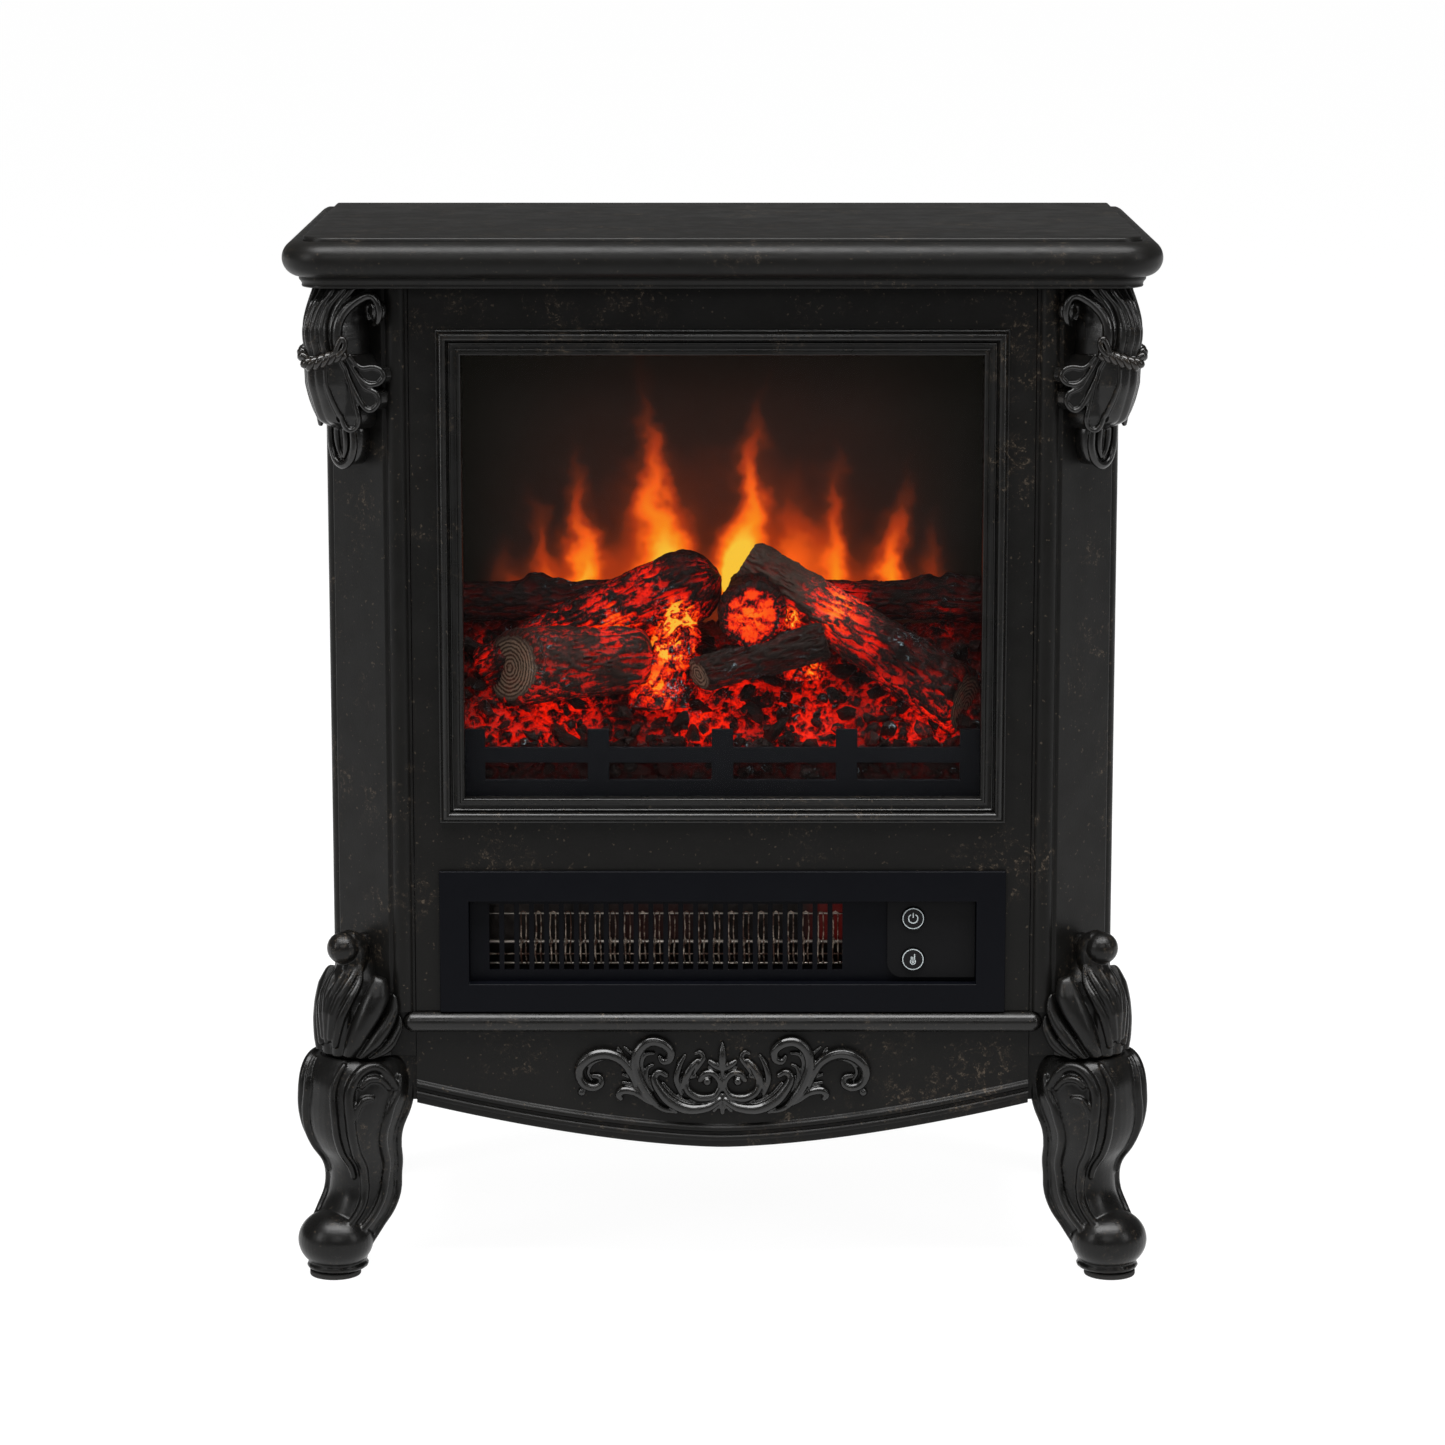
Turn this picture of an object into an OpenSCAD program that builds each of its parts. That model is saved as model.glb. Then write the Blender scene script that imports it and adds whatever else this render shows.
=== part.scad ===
// Free-standing electric stove fireplace: a cabinet on cabriole legs, a glazed firebox with
// logs and a flame display, and a fan heater with two push buttons under the window.
// The origin is on the floor under the centre of the mantel. +Z is up and the front faces -Y.

/* [Mantel] */
// Width of the mantel top
mantel_w = 500; // [494:1:508]
// Depth of the mantel top, front to back
mantel_d = 268; // [266:1:276]
// Height of the mantel's top face above the floor
mantel_z = 610; // [606:1:620]
// Radius of the rounded front and side edges
bullnose_r = 10.5; // [10:0.5:11]
// Radius of the front corners, seen from above
mantel_corner_r = 28; // [24:1:32]
// How far the mantel stands forward of the cabinet
mantel_overhang = 25; // [24:1:27]

/* [Cabinet] */
// Width of the cabinet across its sides
body_w = 450; // [448:1:454]
// Width of the slanted corner faces, measured along X and along Y
corner_cut = 31; // [30:1:32]
// Thickness of the sheet steel panels
sheet_t = 1.5; // [1.2:0.1:1.6]
// Wall thickness of the corner posts
post_t = 3; // [2.5:0.5:3]
// Height of the lower edge of the side and back panels
skirt_z = 112; // [110:1:116]
// Height of the base plate, which the legs are bolted to
base_z = 131; // [130:1:132]

/* [Window] */
// Clear width of the window
window_w = 301; // [298:1:302]
// Clear height of the window
window_h = 260; // [256:1:261]
// Height of the window's lower edge
window_z = 283.5; // [283:0.5:285]
// Face width of the window bezel
bezel_w = 13; // [12:0.5:13]

/* [Heater] */
// Width of the heater surround
heater_w = 329; // [327:1:331]
// Height of the heater surround
heater_h = 84; // [83:1:85]
// Number of slots in the outlet grille
slot_count = 24; // [20:1:24]
// Distance from one slot to the next
slot_pitch = 8.7; // [8.5:0.1:8.8]
// Width of one slot
slot_w = 5.8; // [5:0.1:6]
// Radius of the push buttons
button_r = 6.6; // [6:0.1:7]

/* [Apron] */
// Height of the apron's lower edge at its middle
apron_mid_z = 76; // [74:1:80]
// Height of the apron's lower edge at its ends
apron_end_z = 103; // [100:1:106]

/* [Moving parts] */
// Radius of the blower wheel
blower_r = 20; // [18:1:21]
// Radius of the flame spindle's shaft
spindle_r = 2; // [1.5:0.5:2]
// Number of reflecting flags on the flame spindle
flag_count = 12; // [8:1:14]

/* [Hidden] */
$fn = 64;

// Colours
antique_black = [0.09, 0.08, 0.075];
firebox_black = [0.04, 0.04, 0.04];
heater_black = [0.07, 0.075, 0.085];
bark_brown = [0.28, 0.19, 0.13];
ember_orange = [0.9, 0.3, 0.08];
zinc = [0.6, 0.62, 0.64];
board_green = [0.1, 0.35, 0.18];
legend_grey = [0.75, 0.75, 0.75];

// Main planes of the cabinet
front_y = mantel_overhang - mantel_d / 2;
back_y = mantel_d / 2 - 4.3;
side_x = body_w / 2;
cornice_h = 6;
nose_z = mantel_z - 2 - bullnose_r;
cabinet_z = nose_z - bullnose_r - cornice_h;
fit_gap = 0.3;
seam_gap = 0.2;

// Corner posts: a flange beside each slanted face carries a half-round bead
post_flange = 15;
bead_r = 6;
bead_proud = 4;
bead_from_edge = 39;
rail_r = 6;
rail_z = base_z + 20.8;
heater_z = rail_z + rail_r + seam_gap;
panel_half = side_x - corner_cut - post_flange - seam_gap;
corner_x = side_x - corner_cut / 2;
corner_y = front_y + corner_cut / 2;

// Window, glass and firebox
collar_w = 7;
glass_y = front_y + 5.5;
glass_t = 3;
liner_y0 = glass_y + 5;
screen_y = front_y + 78.1;
liner_x = 172;
liner_z0 = window_z - 21.5;
liner_z1 = window_z + window_h + 22.5;
liner_t = 1.2;
shelf_z = heater_z + heater_h + 6;

// Heater: outlet recess, grille and controls
outlet_half = heater_w / 2 - 17;
outlet_z0 = heater_z + 16.8;
outlet_z1 = outlet_z0 + 49.2;
grille_y = front_y + 6;
grille_t = 2.5;
slot_x0 = -136;
slot_z0 = outlet_z0 + 6.6;
slot_h = 39.4;
control_x0 = 96;
control_t = 2.5;
button_x = 111;
button_zs = [outlet_z0 + 38.1, outlet_z0 + 13.7];
element_x0 = -146;
element_x1 = 88;
blower_y = front_y + 91;
blower_z = outlet_z0 + 24.2;
blower_x0 = -136;
blower_x1 = 76;
blower_shaft_r = 3;
running_gap = 0.05;

// Flame spindle
rotor_y = front_y + 131;
rotor_z = shelf_z + 72;
rotor_half = 150;

// Logs: from, to, radius at each end
logs = [
    [[-152, -45, 390], [-62, -46, 391], 12, 12],
    [[152, -45, 390], [62, -46, 391], 12, 12],
    [[-127, -78, 359], [-14, -72, 364], 21, 14],
    [[19, -90, 384], [22, -48, 392], 19, 17],
    [[-102, -60, 350], [-16, -56, 406], 11, 14],
    [[16, -58, 415], [140, -76, 329], 11, 10],
    [[-6, -84, 358], [58, -82, 371], 9, 8]
];

// Legs: height, outward offset of the section's centre, half width across, half depth
front_leg_keys = [
    [3, 26, 15, 17], [8, 26, 19, 21], [18, 22, 22, 25.5], [28, 17, 22, 28], [37, 8, 21, 24],
    [47, 3.5, 20, 22], [58, 2, 20, 22], [67, 3, 22, 23], [77, 7, 25, 27], [87, 9.5, 29, 30],
    [98, 8, 32.5, 33.5], [110, 7, 33.5, 33.5], [122, 5, 33, 33], [131, 3, 31, 32]
];
// Rear legs: height, distance of the section's centre from the middle, half width, half depth
rear_leg_keys = [
    [3, 226, 15, 16], [10, 226, 18, 20], [20, 225, 19, 21], [33, 222, 17, 17],
    [50, 219, 16, 15], [68, 217, 18, 17], [88, 214, 23, 22], [100, 212, 25, 24],
    [110, 205, 18.5, 23], [131, 203, 18.5, 23]
];
foot_pad_r = 15;
foot_pad_h = 3;
leg_bolt_r = 3;

// Corbels and leaves on the slanted corner faces: height, half width, depth
corbel_keys = [
    [475, 8, 12], [483, 12, 18], [496, 17, 17], [502, 20, 22], [512, 22, 28], [526, 22, 33],
    [536, 20, 37], [542, 21, 40], [551, 22, 36], [560, 22, 31], [570, 21, 26], [580.8, 20, 24]
];
leaf_keys = [
    [131, 28, 31], [145, 27, 33], [158, 24, 34], [168, 21, 33], [176, 18, 31],
    [186, 14, 27], [195, 11, 27], [201, 9, 24], [204, 5, 16]
];

// Helpers ---------------------------------------------------------------------------------

// Block between two corners
module box(x0, x1, y0, y1, z0, z1) {
    translate([x0, y0, z0]) cube([x1 - x0, y1 - y0, z1 - z0]);
}

// Rectangle between two corners
module rect(x0, x1, z0, z1) {
    translate([x0, z0]) square([x1 - x0, z1 - z0]);
}

// Plate with its outline in X and Z, from y0 at the front to y1 at the back
module upright(y0, y1) {
    translate([0, y1, 0]) rotate([90, 0, 0]) linear_extrude(y1 - y0) children();
}

// Piece with its outline in Y and Z, from x0 to x1
module crosswise(x0, x1) {
    translate([x0, 0, 0]) rotate([90, 0, 90]) linear_extrude(x1 - x0) children();
}

// Cylinder along Y between y0 and y1
module rod_y(x, z, y0, y1, r) {
    translate([x, y0, z]) rotate([-90, 0, 0]) cylinder(h = y1 - y0, r = r);
}

// Cylinder along X between x0 and x1
module rod_x(x0, x1, y, z, r) {
    translate([x0, y, z]) rotate([0, 90, 0]) cylinder(h = x1 - x0, r = r);
}

// Puts its children on the slanted corner face, with -Y pointing outwards
module on_corner(side) {
    mirror([side > 0 ? 1 : 0, 0, 0])
        translate([-corner_x, corner_y, 0]) rotate([0, 0, -45]) children();
}

// Point of a rounded-square ring
function ring_point(half_x, half_y, angle, squareness) = [
    half_x * sign(cos(angle)) * pow(abs(cos(angle)), 2 / squareness),
    half_y * sign(sin(angle)) * pow(abs(sin(angle)), 2 / squareness)
];

// Closed solid through a stack of rings with equal numbers of points
module loft(rings) {
    sides = len(rings[0]);
    levels = len(rings);
    walls = [for (k = [0 : levels - 2], i = [0 : sides - 1]) [k * sides + i, k * sides + (i + 1) % sides]];
    polyhedron(
        points = [for (ring = rings) each ring],
        faces = concat(
            [[for (i = [0 : sides - 1]) i]],
            [for (w = walls) [w[0], w[0] + sides, w[1] + sides]],
            [for (w = walls) [w[0], w[1] + sides, w[1]]],
            [[for (i = [sides - 1 : -1 : 0]) (levels - 1) * sides + i]]
        )
    );
}

// Solid on a corner face whose sections are half ovals
module half_oval_loft(keys) {
    steps = 14;
    loft([for (key = keys) [for (i = [0 : steps]) let (angle = 180 + 180 * i / steps)
        [key[1] * cos(angle), key[2] * sin(angle), key[0]]]]);
}

// Mantel, cornice and cabinet ----------------------------------------------------------------

// Outline of the mantel moved inwards: rounded front corners, straight back
function mantel_outline(inset, back_inset) =
    let (
        half = mantel_w / 2 - inset,
        near = -mantel_d / 2 + inset,
        far = mantel_d / 2 - back_inset,
        r = mantel_corner_r - inset,
        steps = 10
    ) concat(
        [for (i = [0 : steps]) let (a = 180 + 90 * i / steps) [-half + r + r * cos(a), near + r + r * sin(a)]],
        [for (i = [0 : steps]) let (a = 270 + 90 * i / steps) [half - r + r * cos(a), near + r + r * sin(a)]],
        [[half, far], [-half, far]]
    );

// Top board: a rounded nose all round but the back, under a raised flat field
module mantel_top() {
    field_inset = 12;
    nose_steps = 9;
    nose_end = 70;
    nose = [for (i = [0 : nose_steps]) let (a = -90 + (90 + nose_end) * i / nose_steps)
        [bullnose_r * (1 - cos(a)), nose_z + bullnose_r * sin(a)]];
    color(antique_black) {
        loft([for (p = nose) [for (q = mantel_outline(p[0], 0)) [q[0], q[1], p[1]]]]);
        translate([0, 0, nose_z]) linear_extrude(mantel_z - nose_z) polygon(mantel_outline(field_inset, 1));
    }
}

module cornice_trim() {
    step_inset = 9.5;
    color(antique_black) translate([0, 0, cabinet_z])
        linear_extrude(cornice_h) polygon(mantel_outline(step_inset, 4));
}

// Outline of the space inside the posts and panels
module inner_plan() {
    wall = post_t + seam_gap;
    slip = wall * tan(22.5);
    half = side_x - wall;
    right = [
        [side_x - corner_cut - slip, front_y + wall],
        [half, front_y + corner_cut + slip],
        [half, back_y - sheet_t - 1.5 - seam_gap - 0.1]
    ];
    polygon(concat(right, [for (i = [2 : -1 : 0]) [-right[i][0], right[i][1]]]));
}

module cabinet_top() {
    color(zinc) translate([0, 0, cabinet_z - sheet_t]) linear_extrude(sheet_t) inner_plan();
}

module base_plate() {
    color(zinc) difference() {
        translate([0, 0, base_z]) linear_extrude(sheet_t) inner_plan();
        leg_bolt_places() translate([0, 0, base_z - 1]) cylinder(h = sheet_t + 2, r = leg_bolt_r + 0.3);
    }
}

module inner_shelf() {
    color(zinc) translate([0, 0, shelf_z]) linear_extrude(sheet_t) inner_plan();
}

module front_panel() {
    window_lip = collar_w + 0.5;
    heater_lip = 6;
    color(antique_black) upright(front_y, front_y + sheet_t) difference() {
        rect(-panel_half, panel_half, rail_z + rail_r + 0.3, cabinet_z - 0.1);
        rect(-window_w / 2 - window_lip, window_w / 2 + window_lip,
            window_z - window_lip, window_z + window_h + window_lip);
        rect(-heater_w / 2 + heater_lip, heater_w / 2 - heater_lip,
            heater_z + heater_lip, heater_z + heater_h - heater_lip);
    }
}

// Left corner post; the right one is its mirror image
module corner_post() {
    slip = post_t * tan(22.5);
    flange_x = side_x - corner_cut - post_flange;
    flange_y = front_y + corner_cut + post_flange + 1;
    post_z0 = base_z + 0.2;
    bead_z0 = rail_z + rail_r + 0.2;
    color(antique_black) {
        translate([0, 0, post_z0]) linear_extrude(cabinet_z - post_z0) polygon([
            [-side_x, flange_y],
            [-side_x, front_y + corner_cut],
            [-side_x + corner_cut, front_y],
            [-flange_x, front_y],
            [-flange_x, front_y + post_t],
            [-side_x + corner_cut + slip, front_y + post_t],
            [-side_x + post_t, front_y + corner_cut + slip],
            [-side_x + post_t, flange_y]
        ]);
        translate([0, 0, bead_z0]) linear_extrude(cabinet_z - bead_z0) {
            intersection() {
                translate([-side_x + bead_from_edge, front_y + bead_r - bead_proud]) circle(bead_r);
                translate([-side_x, front_y - bead_r]) square([body_w / 2, bead_r + 1]);
            }
            intersection() {
                translate([-side_x + bead_r - bead_proud, front_y + bead_from_edge]) circle(bead_r);
                translate([-side_x - bead_r, front_y]) square([bead_r + 1, mantel_d / 2]);
            }
        }
    }
}

module corner_post_left() { corner_post(); }
module corner_post_right() { mirror([1, 0, 0]) corner_post(); }

// Heights of the screws that hold the back panel
back_screw_zs = [140, 262, 400, 552];
back_screw_x = side_x - 7;

// Left side panel: a folded sheet with a flange that the back panel is screwed to
module side_panel() {
    flange_w = 13;
    near = front_y + corner_cut + post_flange + 1 + seam_gap;
    far = back_y - 1.2 - 0.1;
    color(antique_black) difference() {
        translate([0, 0, skirt_z]) linear_extrude(cabinet_z - skirt_z - 0.1) polygon([
            [-side_x, near], [-side_x, far], [-side_x + flange_w, far],
            [-side_x + flange_w, far - sheet_t], [-side_x + sheet_t, far - sheet_t],
            [-side_x + sheet_t, near]
        ]);
        for (z = back_screw_zs) rod_y(-back_screw_x, z, far - sheet_t - 1, far + 1, 1.8);
    }
}

module side_panel_left() { side_panel(); }
module side_panel_right() { mirror([1, 0, 0]) side_panel(); }

// Back panel with the blower's intake slots low down and vents near the top
module back_panel() {
    intake_count = 18;
    vent_count = 14;
    vent_pitch = 12;
    panel_t = 1.2;
    color(antique_black) difference() {
        upright(back_y - panel_t, back_y) difference() {
            rect(-side_x + 0.5, side_x - 0.5, skirt_z, cabinet_z - 0.1);
            for (i = [0 : intake_count - 1]) translate([(i - (intake_count - 1) / 2) * vent_pitch - 30, 0])
                for (row_z = [168, 204]) rect(-2.5, 2.5, row_z, row_z + 28);
            for (i = [0 : vent_count - 1]) translate([(i - (vent_count - 1) / 2) * vent_pitch, 0])
                rect(-2.5, 2.5, 528, 554);
        }
        for (side = [-1, 1], z = back_screw_zs) rod_y(side * back_screw_x, z, back_y - 3, back_y + 1, 1.8);
        rod_y(gland_x, gland_z, back_y - 3, back_y + 1, gland_barrel_r + 0.1);
    }
}

module back_screws() {
    color(zinc) for (side = [-1, 1], z = back_screw_zs) {
        rod_y(side * back_screw_x, z, back_y - 9, back_y + 0.1, 1.6);
        rod_y(side * back_screw_x, z, back_y, back_y + 2, 3.4);
    }
}

// Cable gland in the back panel, with a clear bore for the supply cable
gland_x = 170;
gland_z = 152;
gland_bore_r = 3.6;
gland_barrel_r = 7;
gland_back = 3;
gland_front = 8;
module cord_gland() {
    color(firebox_black) difference() {
        union() {
            rod_y(gland_x, gland_z, back_y - gland_front, back_y + 0.5, gland_barrel_r);
            rod_y(gland_x, gland_z, back_y, back_y + gland_back, gland_barrel_r + 2.5);
            rod_y(gland_x, gland_z, back_y - gland_front, back_y - 1.4, gland_barrel_r + 1);
        }
        rod_y(gland_x, gland_z, back_y - gland_front - 1, back_y + gland_back + 1, gland_bore_r);
    }
}

// Window and firebox -----------------------------------------------------------------------

// Rectangular ring round the window, between two distances from the clear opening
module window_ring(outer, inner) {
    difference() {
        rect(-window_w / 2 - outer, window_w / 2 + outer, window_z - outer, window_z + window_h + outer);
        rect(-window_w / 2 - inner, window_w / 2 + inner, window_z - inner, window_z + window_h + inner);
    }
}

module window_bezel() {
    outer_bead_w = 6.5;
    outer_bead_h = 5;
    inner_band_h = 3;
    groove_w = 1;
    color(antique_black) {
        upright(front_y - 1.5, front_y) window_ring(bezel_w, 0);
        upright(front_y - outer_bead_h, front_y) window_ring(bezel_w, bezel_w - outer_bead_w);
        upright(front_y - inner_band_h, glass_y) window_ring(bezel_w - outer_bead_w - groove_w, 0);
    }
}

module window_glass() {
    color([0.25, 0.25, 0.25, 0.4]) upright(glass_y, glass_y + glass_t)
        rect(-window_w / 2 - collar_w + 0.2, window_w / 2 + collar_w - 0.2,
            window_z - collar_w + 0.2, window_z + window_h + collar_w - 0.2);
}

// Four clips that hold the glass against the bezel's collar
module glass_clips() {
    clip_half = 8;
    clip_t = 1.8;
    back = glass_y + glass_t + clip_t;
    top_z = window_z + window_h + collar_w + 1;
    bottom_z = window_z - collar_w - 1;
    color(zinc) for (x = [-95, 95]) {
        box(x - clip_half, x + clip_half, front_y + sheet_t, back, top_z, top_z + 4);
        box(x - clip_half, x + clip_half, glass_y + glass_t, back, top_z - 6, top_z + 1);
        box(x - clip_half, x + clip_half, front_y + sheet_t, back, bottom_z - 4, bottom_z);
        box(x - clip_half, x + clip_half, glass_y + glass_t, back, bottom_z - 1, bottom_z + 6);
    }
}

// Low stamped grate behind the glass
module fender_grate() {
    half = window_w / 2 + 1.5;
    post_half = 6.25;
    color(firebox_black) upright(liner_y0 + 1, liner_y0 + 4) {
        rect(-half, half, liner_z0 + liner_t, window_z + 9.9);
        rect(-half, half, window_z + 20, window_z + 29);
        for (i = [-2 : 2]) rect(i * 72 - post_half, i * 72 + post_half, liner_z0 + liner_t, window_z + 39.7);
    }
}

module firebox_liner() {
    far = screen_y - 0.1;
    color(firebox_black) difference() {
        box(-liner_x - liner_t, liner_x + liner_t, liner_y0, far, liner_z0, liner_z1 + liner_t);
        box(-liner_x, liner_x, liner_y0 - 1, far + 1, liner_z0 + liner_t, liner_z1);
    }
}

// One log, optionally grown to cut a seat for it in another piece
module log_bar(log, grow) {
    from = log[0];
    span = log[1] - from;
    length = norm(span);
    translate(from) rotate([0, acos(span.z / length), atan2(span.y, span.x)])
        translate([0, 0, -grow]) cylinder(h = length + 2 * grow, r1 = log[2] + grow, r2 = log[3] + grow);
}

// A log notched over those before it in the list
module stacked_log(index) {
    color(bark_brown) difference() {
        log_bar(logs[index], 0);
        if (index > 0) for (other = [0 : index - 1]) log_bar(logs[other], fit_gap);
    }
}

module log_rear_left() { stacked_log(0); }
module log_rear_right() { stacked_log(1); }
module log_front_left() { stacked_log(2); }
module log_centre() { stacked_log(3); }
module log_leaning_left() { stacked_log(4); }
module log_leaning_right() { stacked_log(5); }
module log_low() { stacked_log(6); }

// Hollow moulded bed of embers with seats for the logs
module ember_bed() {
    near = liner_y0 + 5.5;
    far = screen_y - 2.1;
    foot = liner_z0 + liner_t;
    wall = 3;
    color(ember_orange) difference() {
        crosswise(-168, 168) polygon([
            [near, foot], [near, 303], [near + 8, 320], [near + 24, 341], [near + 42, 362],
            [far - 14, 376], [far, 378], [far, foot]
        ]);
        crosswise(-168 + wall, 168 - wall) polygon([
            [near + wall, foot - 1], [near + wall, 290], [near + 24, 312],
            [far - wall, 340], [far - wall, foot - 1]
        ]);
        for (log = logs) log_bar(log, fit_gap);
    }
}

// Frosted panel that the flames are projected on
module flame_screen() {
    margin = 4;
    color([0.12, 0.12, 0.12, 0.8])
        box(-liner_x - margin, liner_x + margin, screen_y, screen_y + 3, shelf_z + sheet_t, liner_z1 + margin);
}

// Outline of one flame-shaped slot, standing on its base point
module flame_slot(height, half_w, lean) {
    steps = 12;
    function edge(t, side) = [lean * t * t + side * half_w * sin(180 * pow(t, 0.6)), height * t];
    polygon(concat(
        [for (i = [0 : steps]) edge(i / steps, 1)],
        [for (i = [steps - 1 : -1 : 1]) edge(i / steps, -1)]
    ));
}

// Sheet behind the screen with flame-shaped slots
module flame_mask() {
    mask_y = screen_y + 16;
    slots = [[-126, 50, 9, 4], [-93, 90, 11, -5], [-38, 130, 14, 3], [24, 140, 14, -4], [64, 105, 8, 5], [108, 85, 11, 4]];
    color(zinc) upright(mask_y, mask_y + 0.8) difference() {
        rect(-liner_x, liner_x, shelf_z + sheet_t, liner_z1 - 10);
        for (slot = slots) translate([slot[0], rotor_z + 20]) flame_slot(slot[1], slot[2], slot[3]);
    }
}

// Spindle with reflecting flags that throws moving light through the mask
module flame_rotor() {
    flag_r = 13;
    flag_pitch = 2 * (rotor_half - 12) / flag_count;
    color(zinc) {
        rod_x(-rotor_half - 15, rotor_half + 8, rotor_y, rotor_z, spindle_r);
        for (i = [0 : flag_count - 1])
            translate([-rotor_half + 12 + i * flag_pitch, rotor_y, rotor_z]) rotate([i * 360 / flag_count, 0, 0])
                translate([0, -flag_r, -0.3]) cube([flag_pitch * 0.8, 2 * flag_r, 0.6]);
    }
}

// Plastic bearing on a folded foot for the spindle's left end
module rotor_bush() {
    x1 = -rotor_half - 9;
    color(firebox_black) difference() {
        union() {
            rod_x(x1 - 8, x1, rotor_y, rotor_z, 6);
            box(x1 - 6, x1 - 3, rotor_y - 6, rotor_y + 6, shelf_z + sheet_t, rotor_z);
            box(x1 - 14, x1 - 3, rotor_y - 6, rotor_y + 6, shelf_z + sheet_t, shelf_z + sheet_t + 2);
        }
        rod_x(x1 - 9, x1 + 1, rotor_y, rotor_z, spindle_r + running_gap);
    }
}

// Slow geared motor with its foot, at the spindle's right end
module rotor_motor() {
    x0 = rotor_half + 2;
    can_r = 21;
    color(zinc) difference() {
        union() {
            rod_x(x0, x0 + 5, rotor_y, rotor_z, 5);
            rod_x(x0 + 4, x0 + 20, rotor_y, rotor_z, can_r);
            box(x0 + 4, x0 + 6, rotor_y - can_r, rotor_y + can_r, shelf_z + sheet_t, rotor_z);
            box(x0 + 4, x0 + 20, rotor_y - can_r, rotor_y + can_r, shelf_z + sheet_t, shelf_z + sheet_t + 2);
        }
        rod_x(x0 - 1, x0 + 7, rotor_y, rotor_z, spindle_r + running_gap);
    }
}

// Strip of lamps: a board on stand-offs with a row of emitters
module lamp_strip(half, y, z, count) {
    board_half = 8;
    board_t = 1.6;
    stand_h = 3;
    color(board_green) box(-half, half, y - board_half, y + board_half, z + stand_h, z + stand_h + board_t);
    color("white") for (i = [0 : count - 1]) translate([(2 * (i + 0.5) / count - 1) * half, y, z + stand_h + board_t])
        translate([-2.5, -2.5, 0]) cube([5, 5, 1.6]);
    color(zinc) for (x = [-half + 6, half - 6]) translate([x, y, z]) cylinder(h = stand_h, r = 2.5);
}

module flame_led_board() { lamp_strip(140, rotor_y, shelf_z + sheet_t, 10); }
module ember_led_board() { lamp_strip(140, liner_y0 + 36, liner_z0 + liner_t, 8); }

// Heater ------------------------------------------------------------------------------------

module heater_surround() {
    face_h = 3;
    collar_t = 2.5;
    color(heater_black) difference() {
        union() {
            upright(front_y - face_h, front_y) rect(-heater_w / 2, heater_w / 2, heater_z, heater_z + heater_h);
            upright(front_y - 1, grille_y + grille_t)
                rect(-outlet_half - collar_t, outlet_half + collar_t, outlet_z0 - collar_t, outlet_z1 + collar_t);
        }
        upright(front_y - face_h - 1, grille_y + grille_t + 1) rect(-outlet_half, outlet_half, outlet_z0, outlet_z1);
    }
}

module heater_grille() {
    color(heater_black) difference() {
        upright(grille_y, grille_y + grille_t) difference() {
            rect(-outlet_half + seam_gap, outlet_half - seam_gap, outlet_z0 + seam_gap, outlet_z1 - seam_gap);
            for (i = [0 : slot_count - 1]) translate([slot_x0 + i * slot_pitch, 0])
                rect(0, slot_w, slot_z0, slot_z0 + slot_h);
        }
        for (z = button_zs) rod_y(button_x, z, grille_y - 1, grille_y + grille_t + 1, button_r + fit_gap);
    }
}

// Facing for the buttons, with one rounded corner
module control_panel() {
    corner_r = 9;
    x1 = outlet_half - 0.3;
    z0 = outlet_z0 + 2.6;
    z1 = outlet_z1 - 0.8;
    color(heater_black) difference() {
        upright(grille_y - control_t, grille_y) union() {
            translate([control_x0 + corner_r, z0 + corner_r]) circle(corner_r);
            rect(control_x0 + corner_r, x1, z0, z1);
            rect(control_x0, x1, z0 + corner_r, z1);
        }
        for (z = button_zs) rod_y(button_x, z, grille_y - control_t - 1, grille_y + 1, button_r + fit_gap);
    }
}

// Push button: cap, collar that keeps it in, and a stem that reaches the switch
module push_button(z) {
    cap_y = grille_y - control_t - 1.5;
    collar_y = grille_y + grille_t + fit_gap;
    color(legend_grey) {
        rod_y(button_x, z, cap_y, collar_y + 0.5, button_r);
        rod_y(button_x, z, collar_y, collar_y + 1.2, button_r + 1.6);
        rod_y(button_x, z, collar_y + 1, collar_y + 4.2, 2);
    }
}

module power_button() { push_button(button_zs[0]); }
module heat_button() { push_button(button_zs[1]); }

// Board with one press switch behind each button
module button_board() {
    switch_y = grille_y + grille_t + fit_gap + 4.2 + 1.2;
    board_y = switch_y + 3.2;
    x1 = outlet_half - 1;
    color(board_green) box(button_x - 12, x1, board_y, board_y + 1.6, outlet_z0 + 2, outlet_z1 - 2);
    color(firebox_black) for (z = button_zs) {
        box(button_x - 3, button_x + 3, switch_y + 1, board_y + 0.1, z - 3, z + 3);
        rod_y(button_x, z, switch_y, switch_y + 1.5, 1.7);
    }
}

// Open box that carries the heating wires in the air stream
module element_frame() {
    wall = 1.2;
    near = grille_y + grille_t + 3;
    color(zinc) difference() {
        box(element_x0, element_x1, near, near + 30, outlet_z0 + 1, outlet_z1 - 1);
        box(element_x0 + wall, element_x1 - wall, near - 1, near + 31, outlet_z0 + 1 + wall, outlet_z1 - 1 - wall);
    }
}

// Zigzag ribbon of heating wire between two heights
module zigzag(x0, x1, low, high, turns, wire) {
    points = [for (i = [0 : turns]) [x0 + i * (x1 - x0) / turns, i % 2 == 0 ? low : high]];
    polygon(concat(
        [for (p = points) [p[0], p[1] - wire]],
        [for (i = [turns : -1 : 0]) [points[i][0], points[i][1] + wire]]
    ));
}

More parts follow.
